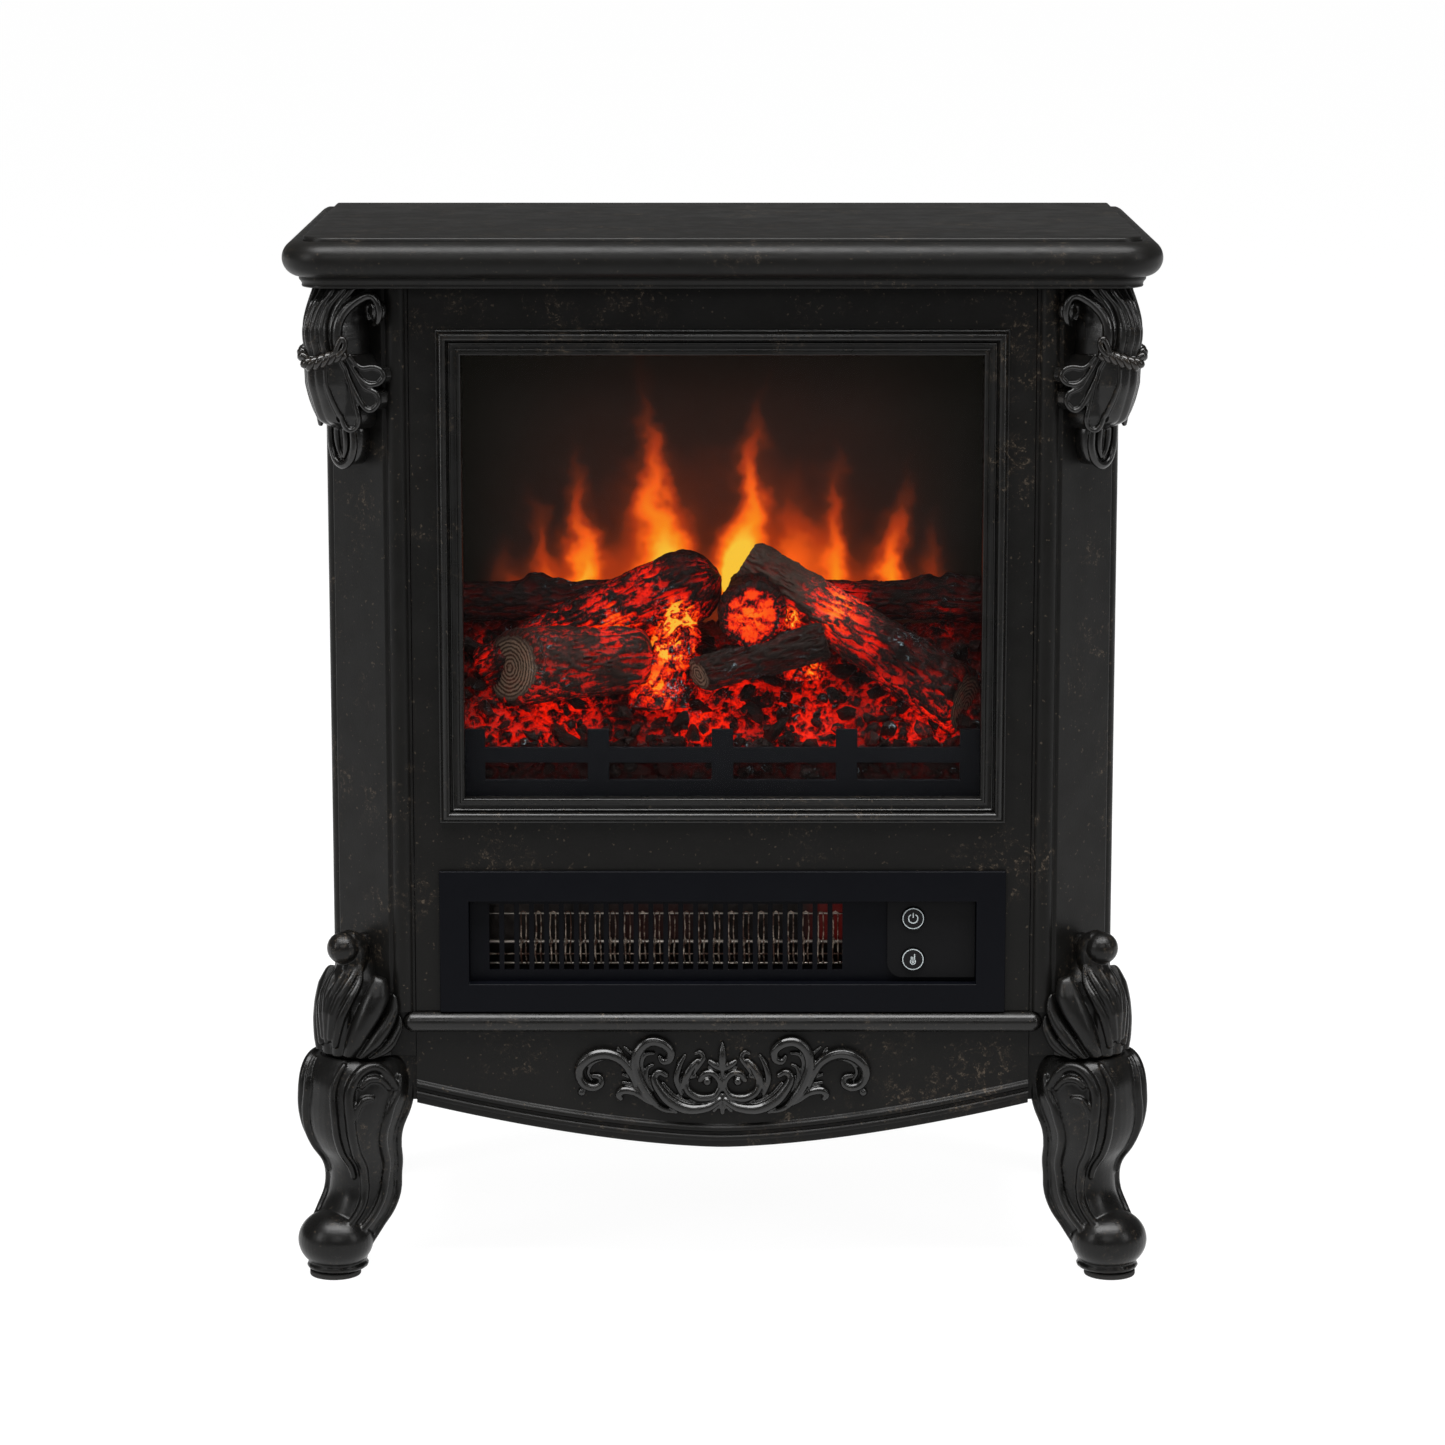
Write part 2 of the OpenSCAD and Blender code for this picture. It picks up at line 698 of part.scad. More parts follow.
// Support rails, with a zigzag of heating wire in front of each gap between them
module heating_element() {
    near = grille_y + grille_t + 12;
    x0 = element_x0 + 1.3;
    x1 = element_x1 - 1.3;
    rail_zs = [outlet_z0 + 5, outlet_z0 + 24.6, outlet_z0 + 42];
    post_w = 2;
    wire = 0.9;
    color(zinc) upright(near, near + 1.6) union() {
        for (z = rail_zs) rect(x0, x1, z - 0.8, z + 0.8);
        for (x = [x0, x1 - post_w]) rect(x, x + post_w, rail_zs[0], rail_zs[2]);
    }
    color(ember_orange) for (row = [0, 1]) upright(near - wire - 0.2, near - 0.2)
        zigzag(x0 + 8, x1 - 8, rail_zs[row] + 1.5, rail_zs[row + 1] - 1.5, 23 - row, wire);
}

// Scroll housing of the cross-flow blower, with a mouth towards the heating element
module blower_housing() {
    wall = 1.5;
    clear_r = blower_r + 3;
    mouth_y = grille_y + grille_t + 33.2;
    module scroll(grow) {
        translate([blower_y, blower_z]) circle(clear_r + grow);
        rect(mouth_y, blower_y, blower_z - clear_r - grow, blower_z + clear_r - 2 + grow);
    }
    color(firebox_black) difference() {
        crosswise(blower_x0 - 3 - wall, blower_x1 + 3 + wall) scroll(wall);
        crosswise(blower_x0 - 3, blower_x1 + 3) union() {
            scroll(0);
            rect(mouth_y - 5, mouth_y + 5, blower_z - clear_r, blower_z + clear_r - 2);
            rect(blower_y + 4, blower_y + 40, blower_z - 8, blower_z + 40);
        }
        rod_x(blower_x0 - 10, blower_x0, blower_y, blower_z, blower_shaft_r + running_gap);
        rod_x(blower_x1, blower_x1 + 10, blower_y, blower_z, blower_shaft_r + 1.5);
    }
}

// Cross-flow wheel: long blades between discs on one shaft
module blower_wheel() {
    blade_count = 20;
    blade_depth = 5;
    disc_t = 1.5;
    color(firebox_black) {
        rod_x(blower_x0 - 8, blower_x1 + 40, blower_y, blower_z, blower_shaft_r);
        for (x = [blower_x0, (blower_x0 + blower_x1) / 2, blower_x1 - disc_t])
            rod_x(x, x + disc_t, blower_y, blower_z, blower_r);
        for (i = [0 : blade_count - 1])
            translate([blower_x0 + 0.5, blower_y, blower_z]) rotate([i * 360 / blade_count, 0, 0])
                translate([0, blower_r - blade_depth - 1.2, 0]) rotate([20, 0, 0])
                    cube([blower_x1 - blower_x0 - 1, blade_depth, 0.8]);
    }
}

// Shaded-pole motor: laminated frame with a coil, and two end brackets with bearings
module blower_motor() {
    x0 = blower_x1 + 12;
    stack_x0 = x0 + 6;
    stack_x1 = stack_x0 + 12;
    bore_r = blower_shaft_r + running_gap;
    color(zinc) difference() {
        union() {
            box(stack_x0, stack_x1, blower_y - 20, blower_y + 20, blower_z - 18, blower_z + 18);
            for (x = [x0, stack_x1 + 4]) {
                box(x, x + 2, blower_y - 20, blower_y + 20, blower_z - 7, blower_z + 7);
                rod_x(x - 1, x + 3, blower_y, blower_z, 6);
            }
            for (y = [-17, 17]) rod_x(x0, stack_x1 + 6, blower_y + y, blower_z, 2);
            box(stack_x0, stack_x1, blower_y - 8, blower_y + 8, base_z + sheet_t, blower_z - 17);
        }
        rod_x(stack_x0 - 0.5, stack_x1 + 0.5, blower_y, blower_z, 11);
        rod_x(x0 - 2, stack_x1 + 8, blower_y, blower_z, bore_r);
    }
    color([0.6, 0.3, 0.1]) box(stack_x0 - 3, stack_x1 + 3, blower_y - 12, blower_y + 12, blower_z + 18, blower_z + 30);
}

// Resetting thermostat on the element frame
module thermal_cutout() {
    color(firebox_black) translate([element_x0 + 60, grille_y + 20, outlet_z1 - 1]) {
        cylinder(h = 5, r = 8);
        translate([-9, -1.5, 4]) cube([18, 3, 4]);
    }
}

// Main board on stand-offs over the base plate
module control_board() {
    x0 = 96;
    y0 = back_y - 110;
    board_z = base_z + sheet_t + 8;
    color(board_green) box(x0, x0 + 100, y0, y0 + 80, board_z, board_z + 1.6);
    color(zinc) for (x = [x0 + 5, x0 + 95], y = [y0 + 5, y0 + 75])
        translate([x, y, base_z + sheet_t]) cylinder(h = 8, r = 3);
    color([0.1, 0.2, 0.5]) for (i = [0, 1]) translate([x0 + 14, y0 + 14 + i * 24, board_z + 1.6]) cube([19, 15, 15]);
    color([0.5, 0.35, 0.1]) translate([x0 + 60, y0 + 14, board_z + 1.6]) cube([26, 22, 22]);
    color(firebox_black) translate([x0 + 52, y0 + 58, board_z + 1.6]) cylinder(h = 20, r = 8);
}

// Switch that cuts the power if the cabinet tips over
module tilt_switch() {
    color(firebox_black) translate([-160, 40, base_z + sheet_t]) {
        cube([24, 14, 30]);
        translate([-8, 0, 0]) cube([40, 14, 2]);
    }
}

// Apron, legs and ornaments ---------------------------------------------------------------------

// Half-round rail between the heater and the apron
module sill_rail() {
    half = side_x - bead_from_edge + 0.5;
    color(antique_black) crosswise(-half, half) intersection() {
        translate([front_y, rail_z]) circle(rail_r);
        rect(front_y - rail_r - 1, front_y, rail_z - rail_r - 1, rail_z + rail_r + 1);
    }
}

// Height of the apron's lower edge at a distance from the middle
function apron_edge(x) = apron_mid_z + (apron_end_z - apron_mid_z) * pow(abs(x) / panel_half, 1.6);

// Outline between the apron's curved edge, moved up, and a level or a second curve
module apron_band(lift, height) {
    steps = 28;
    xs = [for (i = [0 : steps]) panel_half * (2 * i / steps - 1)];
    top = rail_z + rail_r;
    polygon(concat(
        [for (x = xs) [x, apron_edge(x) + lift]],
        height > 0 ? [for (i = [steps : -1 : 0]) [xs[i], apron_edge(xs[i]) + lift + height]]
            : [[panel_half, top], [-panel_half, top]]
    ));
}

module apron() {
    bead_lift = 4;
    bead_h = 9.5;
    bead_out = 2.5;
    color(antique_black) {
        upright(front_y, front_y + 3) apron_band(0, 0);
        upright(front_y - bead_out, front_y + 1) apron_band(bead_lift, bead_h);
    }
}

// Carved spray on the apron: paired scrolls with a lily in the middle
module apron_ornament() {
    lift_z = rail_z - rail_r - 25;
    relief = 4;
    color(antique_black) upright(front_y - relief, front_y) union() {
        for (side = [-1, 1]) {
            translate([side * 14, lift_z + 8]) circle(12);
            translate([side * 34, lift_z - 3]) circle(11);
            translate([side * 56, lift_z - 6]) circle(9.5);
            translate([side * 76, lift_z - 3]) circle(7.5);
        }
        polygon([[-78, lift_z - 9], [78, lift_z - 9], [70, lift_z + 2], [12, lift_z + 12],
            [0, lift_z + 23], [-12, lift_z + 12], [-70, lift_z + 2]]);
    }
}

module corbel(side) {
    color(antique_black) on_corner(side) half_oval_loft(corbel_keys);
}

module corbel_left() { corbel(-1); }
module corbel_right() { corbel(1); }

// Leaf that covers the joint between the leg and the post
module leaf(side) {
    color(antique_black) on_corner(side) half_oval_loft([for (key = leaf_keys) [key[0] + 0.2, key[1], key[2]]]);
}

module leaf_left() { leaf(-1); }
module leaf_right() { leaf(1); }

// Places of the two bolts in each leg's top
module leg_bolt_places() {
    for (side = [-1, 1]) {
        on_corner(side) for (u = [-12, 12]) translate([u, 16, 0]) children();
        for (y = [96, 116]) translate([side * 203, y, 0]) children();
    }
}

module leg_bolts() {
    color(zinc) leg_bolt_places() {
        translate([0, 0, base_z + sheet_t]) cylinder(h = 4, r = 5);
        translate([0, 0, base_z - 14]) cylinder(h = 14 + sheet_t + 0.1, r = leg_bolt_r);
    }
}

module leg_bolt_holes() {
    leg_bolt_places() translate([0, 0, base_z - 15]) cylinder(h = 20, r = leg_bolt_r + 0.1);
}

// Cabriole leg set at 45 degrees under a corner post
module leg_front(side) {
    sides = 28;
    squareness = 2.3;
    color(antique_black) difference() {
        on_corner(side) loft([for (key = front_leg_keys) [for (i = [0 : sides - 1])
            let (p = ring_point(key[2], key[3], 360 * i / sides, squareness))
            [p[0], p[1] - key[1], min(key[0], base_z)]]]);
        leg_bolt_holes();
    }
}

module leg_front_left() { leg_front(-1); }
module leg_front_right() { leg_front(1); }

// Plainer rear leg with a flat back, so that the cabinet can stand near a wall
module leg_rear(side) {
    sides = 24;
    squareness = 2.8;
    leg_back_y = back_y - 4;
    color(antique_black) difference() {
        loft([for (key = rear_leg_keys) [for (i = [0 : sides - 1])
            let (p = ring_point(key[2], key[3], 360 * i / sides, squareness))
            [side * key[1] + p[0], leg_back_y - key[3] + p[1], min(key[0], base_z)]]]);
        leg_bolt_holes();
    }
}

module leg_rear_left() { leg_rear(-1); }
module leg_rear_right() { leg_rear(1); }

// Felt pad under each foot
module foot_pads() {
    front_out = front_leg_keys[0][1];
    rear_x = rear_leg_keys[0][1];
    rear_y = back_y - 4 - rear_leg_keys[0][3];
    color(firebox_black) for (side = [-1, 1]) {
        on_corner(side) translate([0, -front_out, 0]) cylinder(h = foot_pad_h, r = foot_pad_r);
        translate([side * rear_x, rear_y, 0]) cylinder(h = foot_pad_h, r = foot_pad_r);
    }
}

mantel_top();
cornice_trim();
cabinet_top();
front_panel();
corner_post_left();
corner_post_right();
side_panel_left();
side_panel_right();
back_panel();
base_plate();
inner_shelf();
window_bezel();
window_glass();
glass_clips();
fender_grate();
firebox_liner();
ember_bed();
log_rear_left();
log_rear_right();
log_front_left();
log_centre();
log_leaning_left();
log_leaning_right();
log_low();
flame_screen();
flame_mask();
flame_rotor();
rotor_motor();
rotor_bush();
flame_led_board();
ember_led_board();
heater_surround();
heater_grille();
control_panel();
power_button();
heat_button();
button_board();
heating_element();
element_frame();
blower_housing();
blower_wheel();
blower_motor();
thermal_cutout();
control_board();
tilt_switch();
sill_rail();
apron();
apron_ornament();
corbel_left();
corbel_right();
leaf_left();
leaf_right();
leg_front_left();
leg_front_right();
leg_rear_left();
leg_rear_right();
foot_pads();
leg_bolts();
back_screws();
cord_gland();
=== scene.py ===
import math
import random

import bmesh
import bpy
from mathutils import Matrix, Vector, noise


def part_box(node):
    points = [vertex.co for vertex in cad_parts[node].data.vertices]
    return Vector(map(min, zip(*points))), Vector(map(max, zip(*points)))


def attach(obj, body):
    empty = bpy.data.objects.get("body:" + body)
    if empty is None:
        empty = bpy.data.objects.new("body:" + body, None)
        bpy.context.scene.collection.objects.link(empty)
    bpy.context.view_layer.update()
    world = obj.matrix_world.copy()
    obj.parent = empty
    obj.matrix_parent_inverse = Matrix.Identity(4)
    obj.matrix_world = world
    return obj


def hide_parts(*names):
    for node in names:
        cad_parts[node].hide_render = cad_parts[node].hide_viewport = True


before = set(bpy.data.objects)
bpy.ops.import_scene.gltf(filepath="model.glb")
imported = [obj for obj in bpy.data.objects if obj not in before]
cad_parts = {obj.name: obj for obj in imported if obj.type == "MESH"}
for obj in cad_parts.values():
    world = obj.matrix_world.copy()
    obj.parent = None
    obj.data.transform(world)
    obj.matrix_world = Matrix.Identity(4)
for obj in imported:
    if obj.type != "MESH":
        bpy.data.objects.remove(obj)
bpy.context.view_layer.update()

# Looks of the electric stove fireplace. Shapes are worked out in millimetres and scaled by MM.
MM = 0.001


def node_box(name):
    """Lowest and highest corner of a CAD node, in millimetres."""
    low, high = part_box(name)
    return low / MM, high / MM


# Planes that the pieces are built from
MANTEL_LOW, MANTEL_HIGH = node_box("mantel_top")
FRONT_Y = node_box("front_panel")[0].y
CABINET_Z = node_box("cornice_trim")[0].z
GLASS_LOW, GLASS_HIGH = node_box("window_glass")
RAIL_LOW, RAIL_HIGH = node_box("sill_rail")
FRAME_LOW, FRAME_HIGH = node_box("element_frame")
# Middle of the slanted corner faces, which lie at x = CORNER_X and x = -CORNER_X
CORNER_X = 209.5
CORNER_Y = -93.5


def linked(name, data):
    """New object in the scene that holds the data."""
    made = bpy.data.objects.new(name, data)
    bpy.context.scene.collection.objects.link(made)
    return made


# Camera, light and floor -------------------------------------------------------------------

CAMERA_PLACE = (0.0, -2.8, 0.834)
CAMERA_LENS = 118.21
LOOKING_DOWN = 10.62


def make_camera():
    data = bpy.data.cameras.new("camera")
    data.lens = CAMERA_LENS
    data.sensor_width = 36.0
    data.clip_start = 0.05
    data.clip_end = 200.0
    camera = linked("camera", data)
    camera.location = CAMERA_PLACE
    camera.rotation_euler = (math.radians(90 - LOOKING_DOWN), 0.0, 0.0)
    bpy.context.scene.camera = camera


# Soft boxes: name, place, target, width, height, power
SOFT_BOXES = [
    ("bank", (0.0, -0.95, 2.9), (0.0, -0.1, 0.35), 3.4, 1.3, 180),
    ("front", (0.0, -3.5, 2.0), (0.0, 0.0, 0.35), 2.2, 0.8, 17),
    ("key", (-2.3, -1.5, 1.3), (0.0, 0.0, 0.3), 0.5, 1.3, 17),
    ("fill", (2.3, -1.5, 1.3), (0.0, 0.0, 0.3), 0.5, 1.3, 12),
]


def area_light(name, place, target, width, height, power):
    data = bpy.data.lights.new(name, "AREA")
    data.shape = "RECTANGLE"
    data.size = width
    data.size_y = height
    data.energy = power
    light = linked(name, data)
    light.location = place
    light.rotation_euler = (Vector(target) - Vector(place)).to_track_quat("-Z", "Y").to_euler()


def make_lights():
    sun = bpy.data.lights.new("overhead", "SUN")
    sun.energy = 0.4
    sun.angle = math.radians(70)
    overhead = linked("overhead", sun)
    overhead.rotation_euler = (math.radians(8), 0.0, 0.0)
    for lamp in SOFT_BOXES:
        area_light(*lamp)
    world = bpy.data.worlds.new("studio")
    world.use_nodes = True
    background = world.node_tree.nodes["Background"]
    background.inputs["Color"].default_value = (1.0, 1.0, 1.0, 1.0)
    background.inputs["Strength"].default_value = 0.14
    bpy.context.scene.world = world
    bpy.context.scene.view_settings.view_transform = "Standard"


def make_floor(material):
    half = 60.0
    mesh = bpy.data.meshes.new("floor")
    corners = [(-half, -half, 0), (half, -half, 0), (half, half, 0), (-half, half, 0)]
    mesh.from_pydata(corners, [], [(0, 1, 2, 3)])
    floor = linked("floor", mesh)
    floor.location.z = -0.0002
    floor.data.materials.append(material)


# Materials ---------------------------------------------------------------------------------

class Look:
    """A node material round one Principled shader."""

    def __init__(self, name, **sockets):
        self.material = bpy.data.materials.new(name)
        self.material.use_nodes = True
        self.tree = self.material.node_tree
        self.shader = self.tree.nodes["Principled BSDF"]
        self.place = self.add("ShaderNodeTexCoord", out="Object")
        for key, value in sockets.items():
            self.set(key.replace("_", " "), value)

    def set(self, socket, value):
        """Sets or links one of the shader's sockets."""
        self._feed(self.shader.inputs[socket], value)

    def _feed(self, socket, value):
        if isinstance(value, bpy.types.NodeSocket):
            self.tree.links.new(value, socket)
        elif isinstance(value, tuple) and socket.type == "RGBA":
            socket.default_value = (*value, 1.0)
        else:
            socket.default_value = value

    def add(self, kind, inputs=None, out=0, **settings):
        """Adds a node and returns one of its outputs."""
        made = self.tree.nodes.new(kind)
        for key, value in settings.items():
            setattr(made, key, value)
        for key, value in (inputs or {}).items():
            self._feed(made.inputs[key], value)
        return made.outputs[out]

    def noise(self, scale, detail=3.0, rough=0.55, vector=None, distortion=0.0):
        return self.add("ShaderNodeTexNoise", {
            "Vector": vector or self.place, "Scale": scale, "Detail": detail,
            "Roughness": rough, "Distortion": distortion,
        })

    def stretched(self, x, y, z):
        """Object coordinates with each axis scaled."""
        return self.add("ShaderNodeMapping", {"Vector": self.place, "Scale": Vector((x, y, z))})

    def step(self, value, low, high, to_low=0.0, to_high=1.0):
        """Smooth step of value from low to high."""
        return self.add("ShaderNodeMapRange", {
            "Value": value, "From Min": low, "From Max": high, "To Min": to_low, "To Max": to_high,
        }, interpolation_type="SMOOTHSTEP")

    def math(self, operation, first, second=0.0, third=0.0):
        return self.add("ShaderNodeMath", {0: first, 1: second, 2: third}, operation=operation)

    def product(self, *values):
        result = values[0]
        for value in values[1:]:
            result = self.math("MULTIPLY", result, value)
        return result

    def mix(self, amount, first, second):
        """Colour mixed from first to second."""
        made = self.tree.nodes.new("ShaderNodeMix")
        made.data_type = "RGBA"
        self._feed(made.inputs[0], amount)
        self._feed(made.inputs[6], first)
        self._feed(made.inputs[7], second)
        return made.outputs[2]

    def ramp(self, value, stops):
        made = self.tree.nodes.new("ShaderNodeValToRGB")
        self._feed(made.inputs[0], value)
        band = made.color_ramp
        while len(band.elements) < len(stops):
            band.elements.new(0.5)
        for element, (position, colour) in zip(band.elements, stops):
            element.position = position
            element.color = (*colour, 1.0)
        return made.outputs[0]

    def attribute(self, name):
        return self.add("ShaderNodeAttribute", out="Fac", attribute_name=name)

    def axes(self):
        """Object coordinates as three separate numbers."""
        parts = self.tree.nodes.new("ShaderNodeSeparateXYZ")
        self._feed(parts.inputs[0], self.place)
        return parts.outputs

    def roughness(self, scale, detail, low, high):
        """Roughness that wanders from low to high."""
        self.set("Roughness", self.step(self.noise(scale, detail), 0.3, 0.7, low, high))

    def colour(self, amount, first, second):
        self.set("Base Color", self.mix(amount, first, second))

    def emit(self, colour):
        self.set("Emission Color", colour)
        self.set("Emission Strength", 1.0)

    def bump(self, height, distance, strength=1.0):
        """Feeds a bump, with its distance in millimetres, to the shader."""
        self.set("Normal", self.add("ShaderNodeBump", {
            "Height": height, "Distance": distance * MM, "Strength": strength,
        }))


def antique_look(name, base=0.0048, flecks=1.0, rub_and_highlight=0.0, rough=0.40, shine=0.13):
    """Satin near-black finish with clustered tan flecks, and bronze on raised edges that is partly rubbed
    wear and partly a painted highlight on the ridges.
    """
    look = Look(name)
    look.set("Specular IOR Level", shine)
    black = (base, base * 0.98, base * 0.93)
    bronze = (0.017, 0.0125, 0.009)
    tan = (0.092, 0.072, 0.052)
    cloud = look.noise(16.0, 2.0)
    patches = look.step(look.noise(23.0, 5.0, 0.65), 0.50, 0.64)
    grains = look.step(look.noise(430.0, 4.0, 0.7, distortion=1.0), 0.52, 0.62)
    veins = look.step(look.noise(130.0, 4.0, 0.7, distortion=1.2), 0.49, 0.59)
    scatter = look.step(look.noise(420.0, 1.0, 0.5), 0.71, 0.77)
    ground = look.mix(cloud, black, (base * 1.5, base * 1.4, base * 1.25))
    stained = look.mix(look.product(patches, veins, 0.35 * flecks), ground, bronze)
    # Bronze on pointy ridges: partly rubbed wear, partly a painted highlight where light would catch the
    # edges.
    if rub_and_highlight:
        raised = look.step(look.add("ShaderNodeNewGeometry", out="Pointiness"), 0.51, 0.60)
        rubbed_and_highlit = look.product(raised, look.step(look.noise(45.0, 3.0), 0.35, 0.65), rub_and_highlight)
        stained = look.mix(rubbed_and_highlit, stained, bronze)
    marks = look.math("MAXIMUM", look.product(patches, grains, veins), look.product(scatter, 0.55))
    look.colour(look.product(marks, 0.68 * flecks), stained, tan)
    look.roughness(60.0, 3.0, rough - 0.05, rough + 0.07)
    look.bump(look.noise(900.0, 2.0), 0.05)
    return look.material


def plastic_look(name, colour, rough, grain=0.03, level=0.13):
    """Moulded plastic with a fine spark-eroded grain."""
    look = Look(name)
    look.set("Specular IOR Level", level)
    look.colour(look.noise(40.0, 2.0), colour, tuple(c * 1.35 for c in colour))
    look.roughness(120.0, 2.0, rough - 0.04, rough + 0.05)
    look.bump(look.noise(1800.0, 1.0), grain)
    return look.material


def metal_look(name, colour, rough, brushed=(1.0, 1.0, 1.0)):
    """Bare metal, drawn or brushed along the axes with a small scale."""
    look = Look(name, Metallic=1.0)
    lines = look.noise(600.0, 3.0, vector=look.stretched(*brushed))
    dull = look.step(look.noise(30.0, 4.0), 0.35, 0.7)
    look.colour(dull, colour, tuple(c * 0.62 for c in colour))
    look.set("Roughness", look.step(lines, 0.2, 0.8, rough - 0.08, rough + 0.12))
    look.bump(lines, 0.04)
    return look.material


def glass_look():
    """Thin clear glass with a faint dust film."""
    look = Look("window_glass")
    look.set("Base Color", (0.02, 0.02, 0.02))
    look.roughness(30.0, 3.0, 0.04, 0.12)
    look.set("Alpha", look.step(look.noise(14.0, 4.0), 0.35, 0.8, 0.03, 0.06))
    return look.material


def glow_colour(look, heat):
    """Colour of hot coal: black, deep red, orange, then yellow."""
    return look.ramp(heat, [
        (0.0, (0.0, 0.0, 0.0)), (0.14, (0.040, 0.0004, 0.0)), (0.34, (0.46, 0.003, 0.0)),
        (0.54, (0.97, 0.011, 0.0)), (0.74, (1.0, 0.075, 0.001)), (0.90, (1.0, 0.28, 0.012)),
        (1.0, (1.0, 0.52, 0.04)),
    ])


def char_look(name, ash=1.0):
    """Painted resin logs and coals, lit from inside where the paint is thin."""
    look = Look(name)
    look.set("Specular IOR Level", 0.06)
    look.set("Roughness", 0.55)
    groove = look.attribute("groove")
    heat = look.attribute("glow")
    end = look.attribute("end")
    ring = look.attribute("ring")
    tint = look.attribute("tint")
    grain = look.noise(260.0, 4.0, 0.7)
    fine = look.noise(900.0, 3.0, 0.6)
    char = look.mix(grain, (0.002, 0.0012, 0.001), (0.010, 0.0052, 0.004))
    wood = look.mix(fine, (0.022, 0.014, 0.011), (0.070, 0.047, 0.037))
    side = look.mix(tint, char, wood)
    rings = look.math("SINE", look.math("ADD", look.product(ring, 2700.0), look.product(grain, 7.0)))
    cut = look.mix(look.step(rings, -0.8, 0.9), (0.028, 0.017, 0.011), (0.17, 0.115, 0.080))
    painted = look.mix(end, side, look.mix(tint, char, cut))
    specks = look.step(look.noise(300.0, 6.0, 0.78, distortion=1.5), 0.57, 0.63)
    ridge = look.step(groove, 0.62, 0.30)
    dusty = look.step(look.noise(33.0, 2.0), 0.55, 0.66)
    ashes = look.product(specks, ridge, dusty, 0.75 * ash)
    look.colour(ashes, painted, (0.22, 0.30, 0.34))
    mottle = look.step(look.noise(170.0, 6.0, 0.75, distortion=1.0), 0.34, 0.68)
    crackle = look.step(look.noise(620.0, 4.0, 0.7, distortion=0.6), 0.34, 0.66)
    thin = look.math("ADD", look.product(groove, 0.62), look.product(mottle, 0.46))
    thinner = look.math("MULTIPLY_ADD", crackle, 0.26, thin)
    open_paint = look.step(look.math("MULTIPLY_ADD", heat, 0.22, thinner), 0.44, 1.12)
    bare = look.math("SUBTRACT", 1.0, look.product(ashes, 0.9))
    look.emit(glow_colour(look, look.product(heat, open_paint, bare)))
    look.bump(look.math("ADD", grain, look.product(fine, 0.4)), 0.6)
    return look.material


def tongue(look, x, z, foot_x, foot_z, height, width, lean, curl):
    """Brightness of one flame at a point: widest low down, with a wandering tip."""
    rise = look.math("DIVIDE", look.math("SUBTRACT", z, foot_z), height)
    up = look.math("MAXIMUM", rise, 0.0)
    sway = look.product(look.math("SINE", look.product(up, 5.5)), curl)
    centre = look.math("ADD", look.math("MULTIPLY_ADD", look.product(up, up), lean, foot_x), sway)
    narrow = look.math("POWER", look.math("MAXIMUM", look.math("SUBTRACT", 1.0, up), 0.0), 0.55)
    reach = look.math("MULTIPLY_ADD", narrow, width * 0.80, 0.0012)
    off = look.math("DIVIDE", look.math("SUBTRACT", x, centre), reach)
    shape = look.math("EXPONENT", look.product(off, off, -0.95))
    fade = look.product(look.step(rise, 1.15, 0.15), look.step(rise, -0.20, 0.04))
    return look.product(shape, fade)


# Flames on the screen, in metres: foot x, foot z, height, half width, lean, curl, brightness
FLAMES = [
    (-0.127, 0.386, 0.044, 0.016, 0.002, 0.002, 0.50),
    (-0.085, 0.390, 0.092, 0.012, 0.000, 0.003, 0.84),
    (-0.105, 0.392, 0.066, 0.012, -0.008, 0.002, 0.60),
    (-0.034, 0.396, 0.112, 0.015, -0.012, 0.002, 0.86),
    (-0.044, 0.396, 0.146, 0.012, -0.006, 0.0, 0.34),
    (0.012, 0.394, 0.122, 0.0135, 0.016, 0.003, 1.00),
    (0.004, 0.396, 0.050, 0.013, 0.004, 0.0, 0.56),
    (0.038, 0.400, 0.070, 0.013, 0.006, 0.003, 0.36),
    (0.067, 0.398, 0.086, 0.010, -0.004, -0.002, 0.60),
    (0.104, 0.392, 0.080, 0.012, 0.004, -0.005, 0.80),
    (0.122, 0.394, 0.052, 0.010, 0.006, 0.002, 0.48),
    (-0.062, 0.392, 0.050, 0.018, 0.008, 0.0, 0.34),
    (0.052, 0.392, 0.056, 0.022, -0.004, 0.0, 0.34),
    (0.086, 0.392, 0.036, 0.015, 0.0, 0.0, 0.30),
]


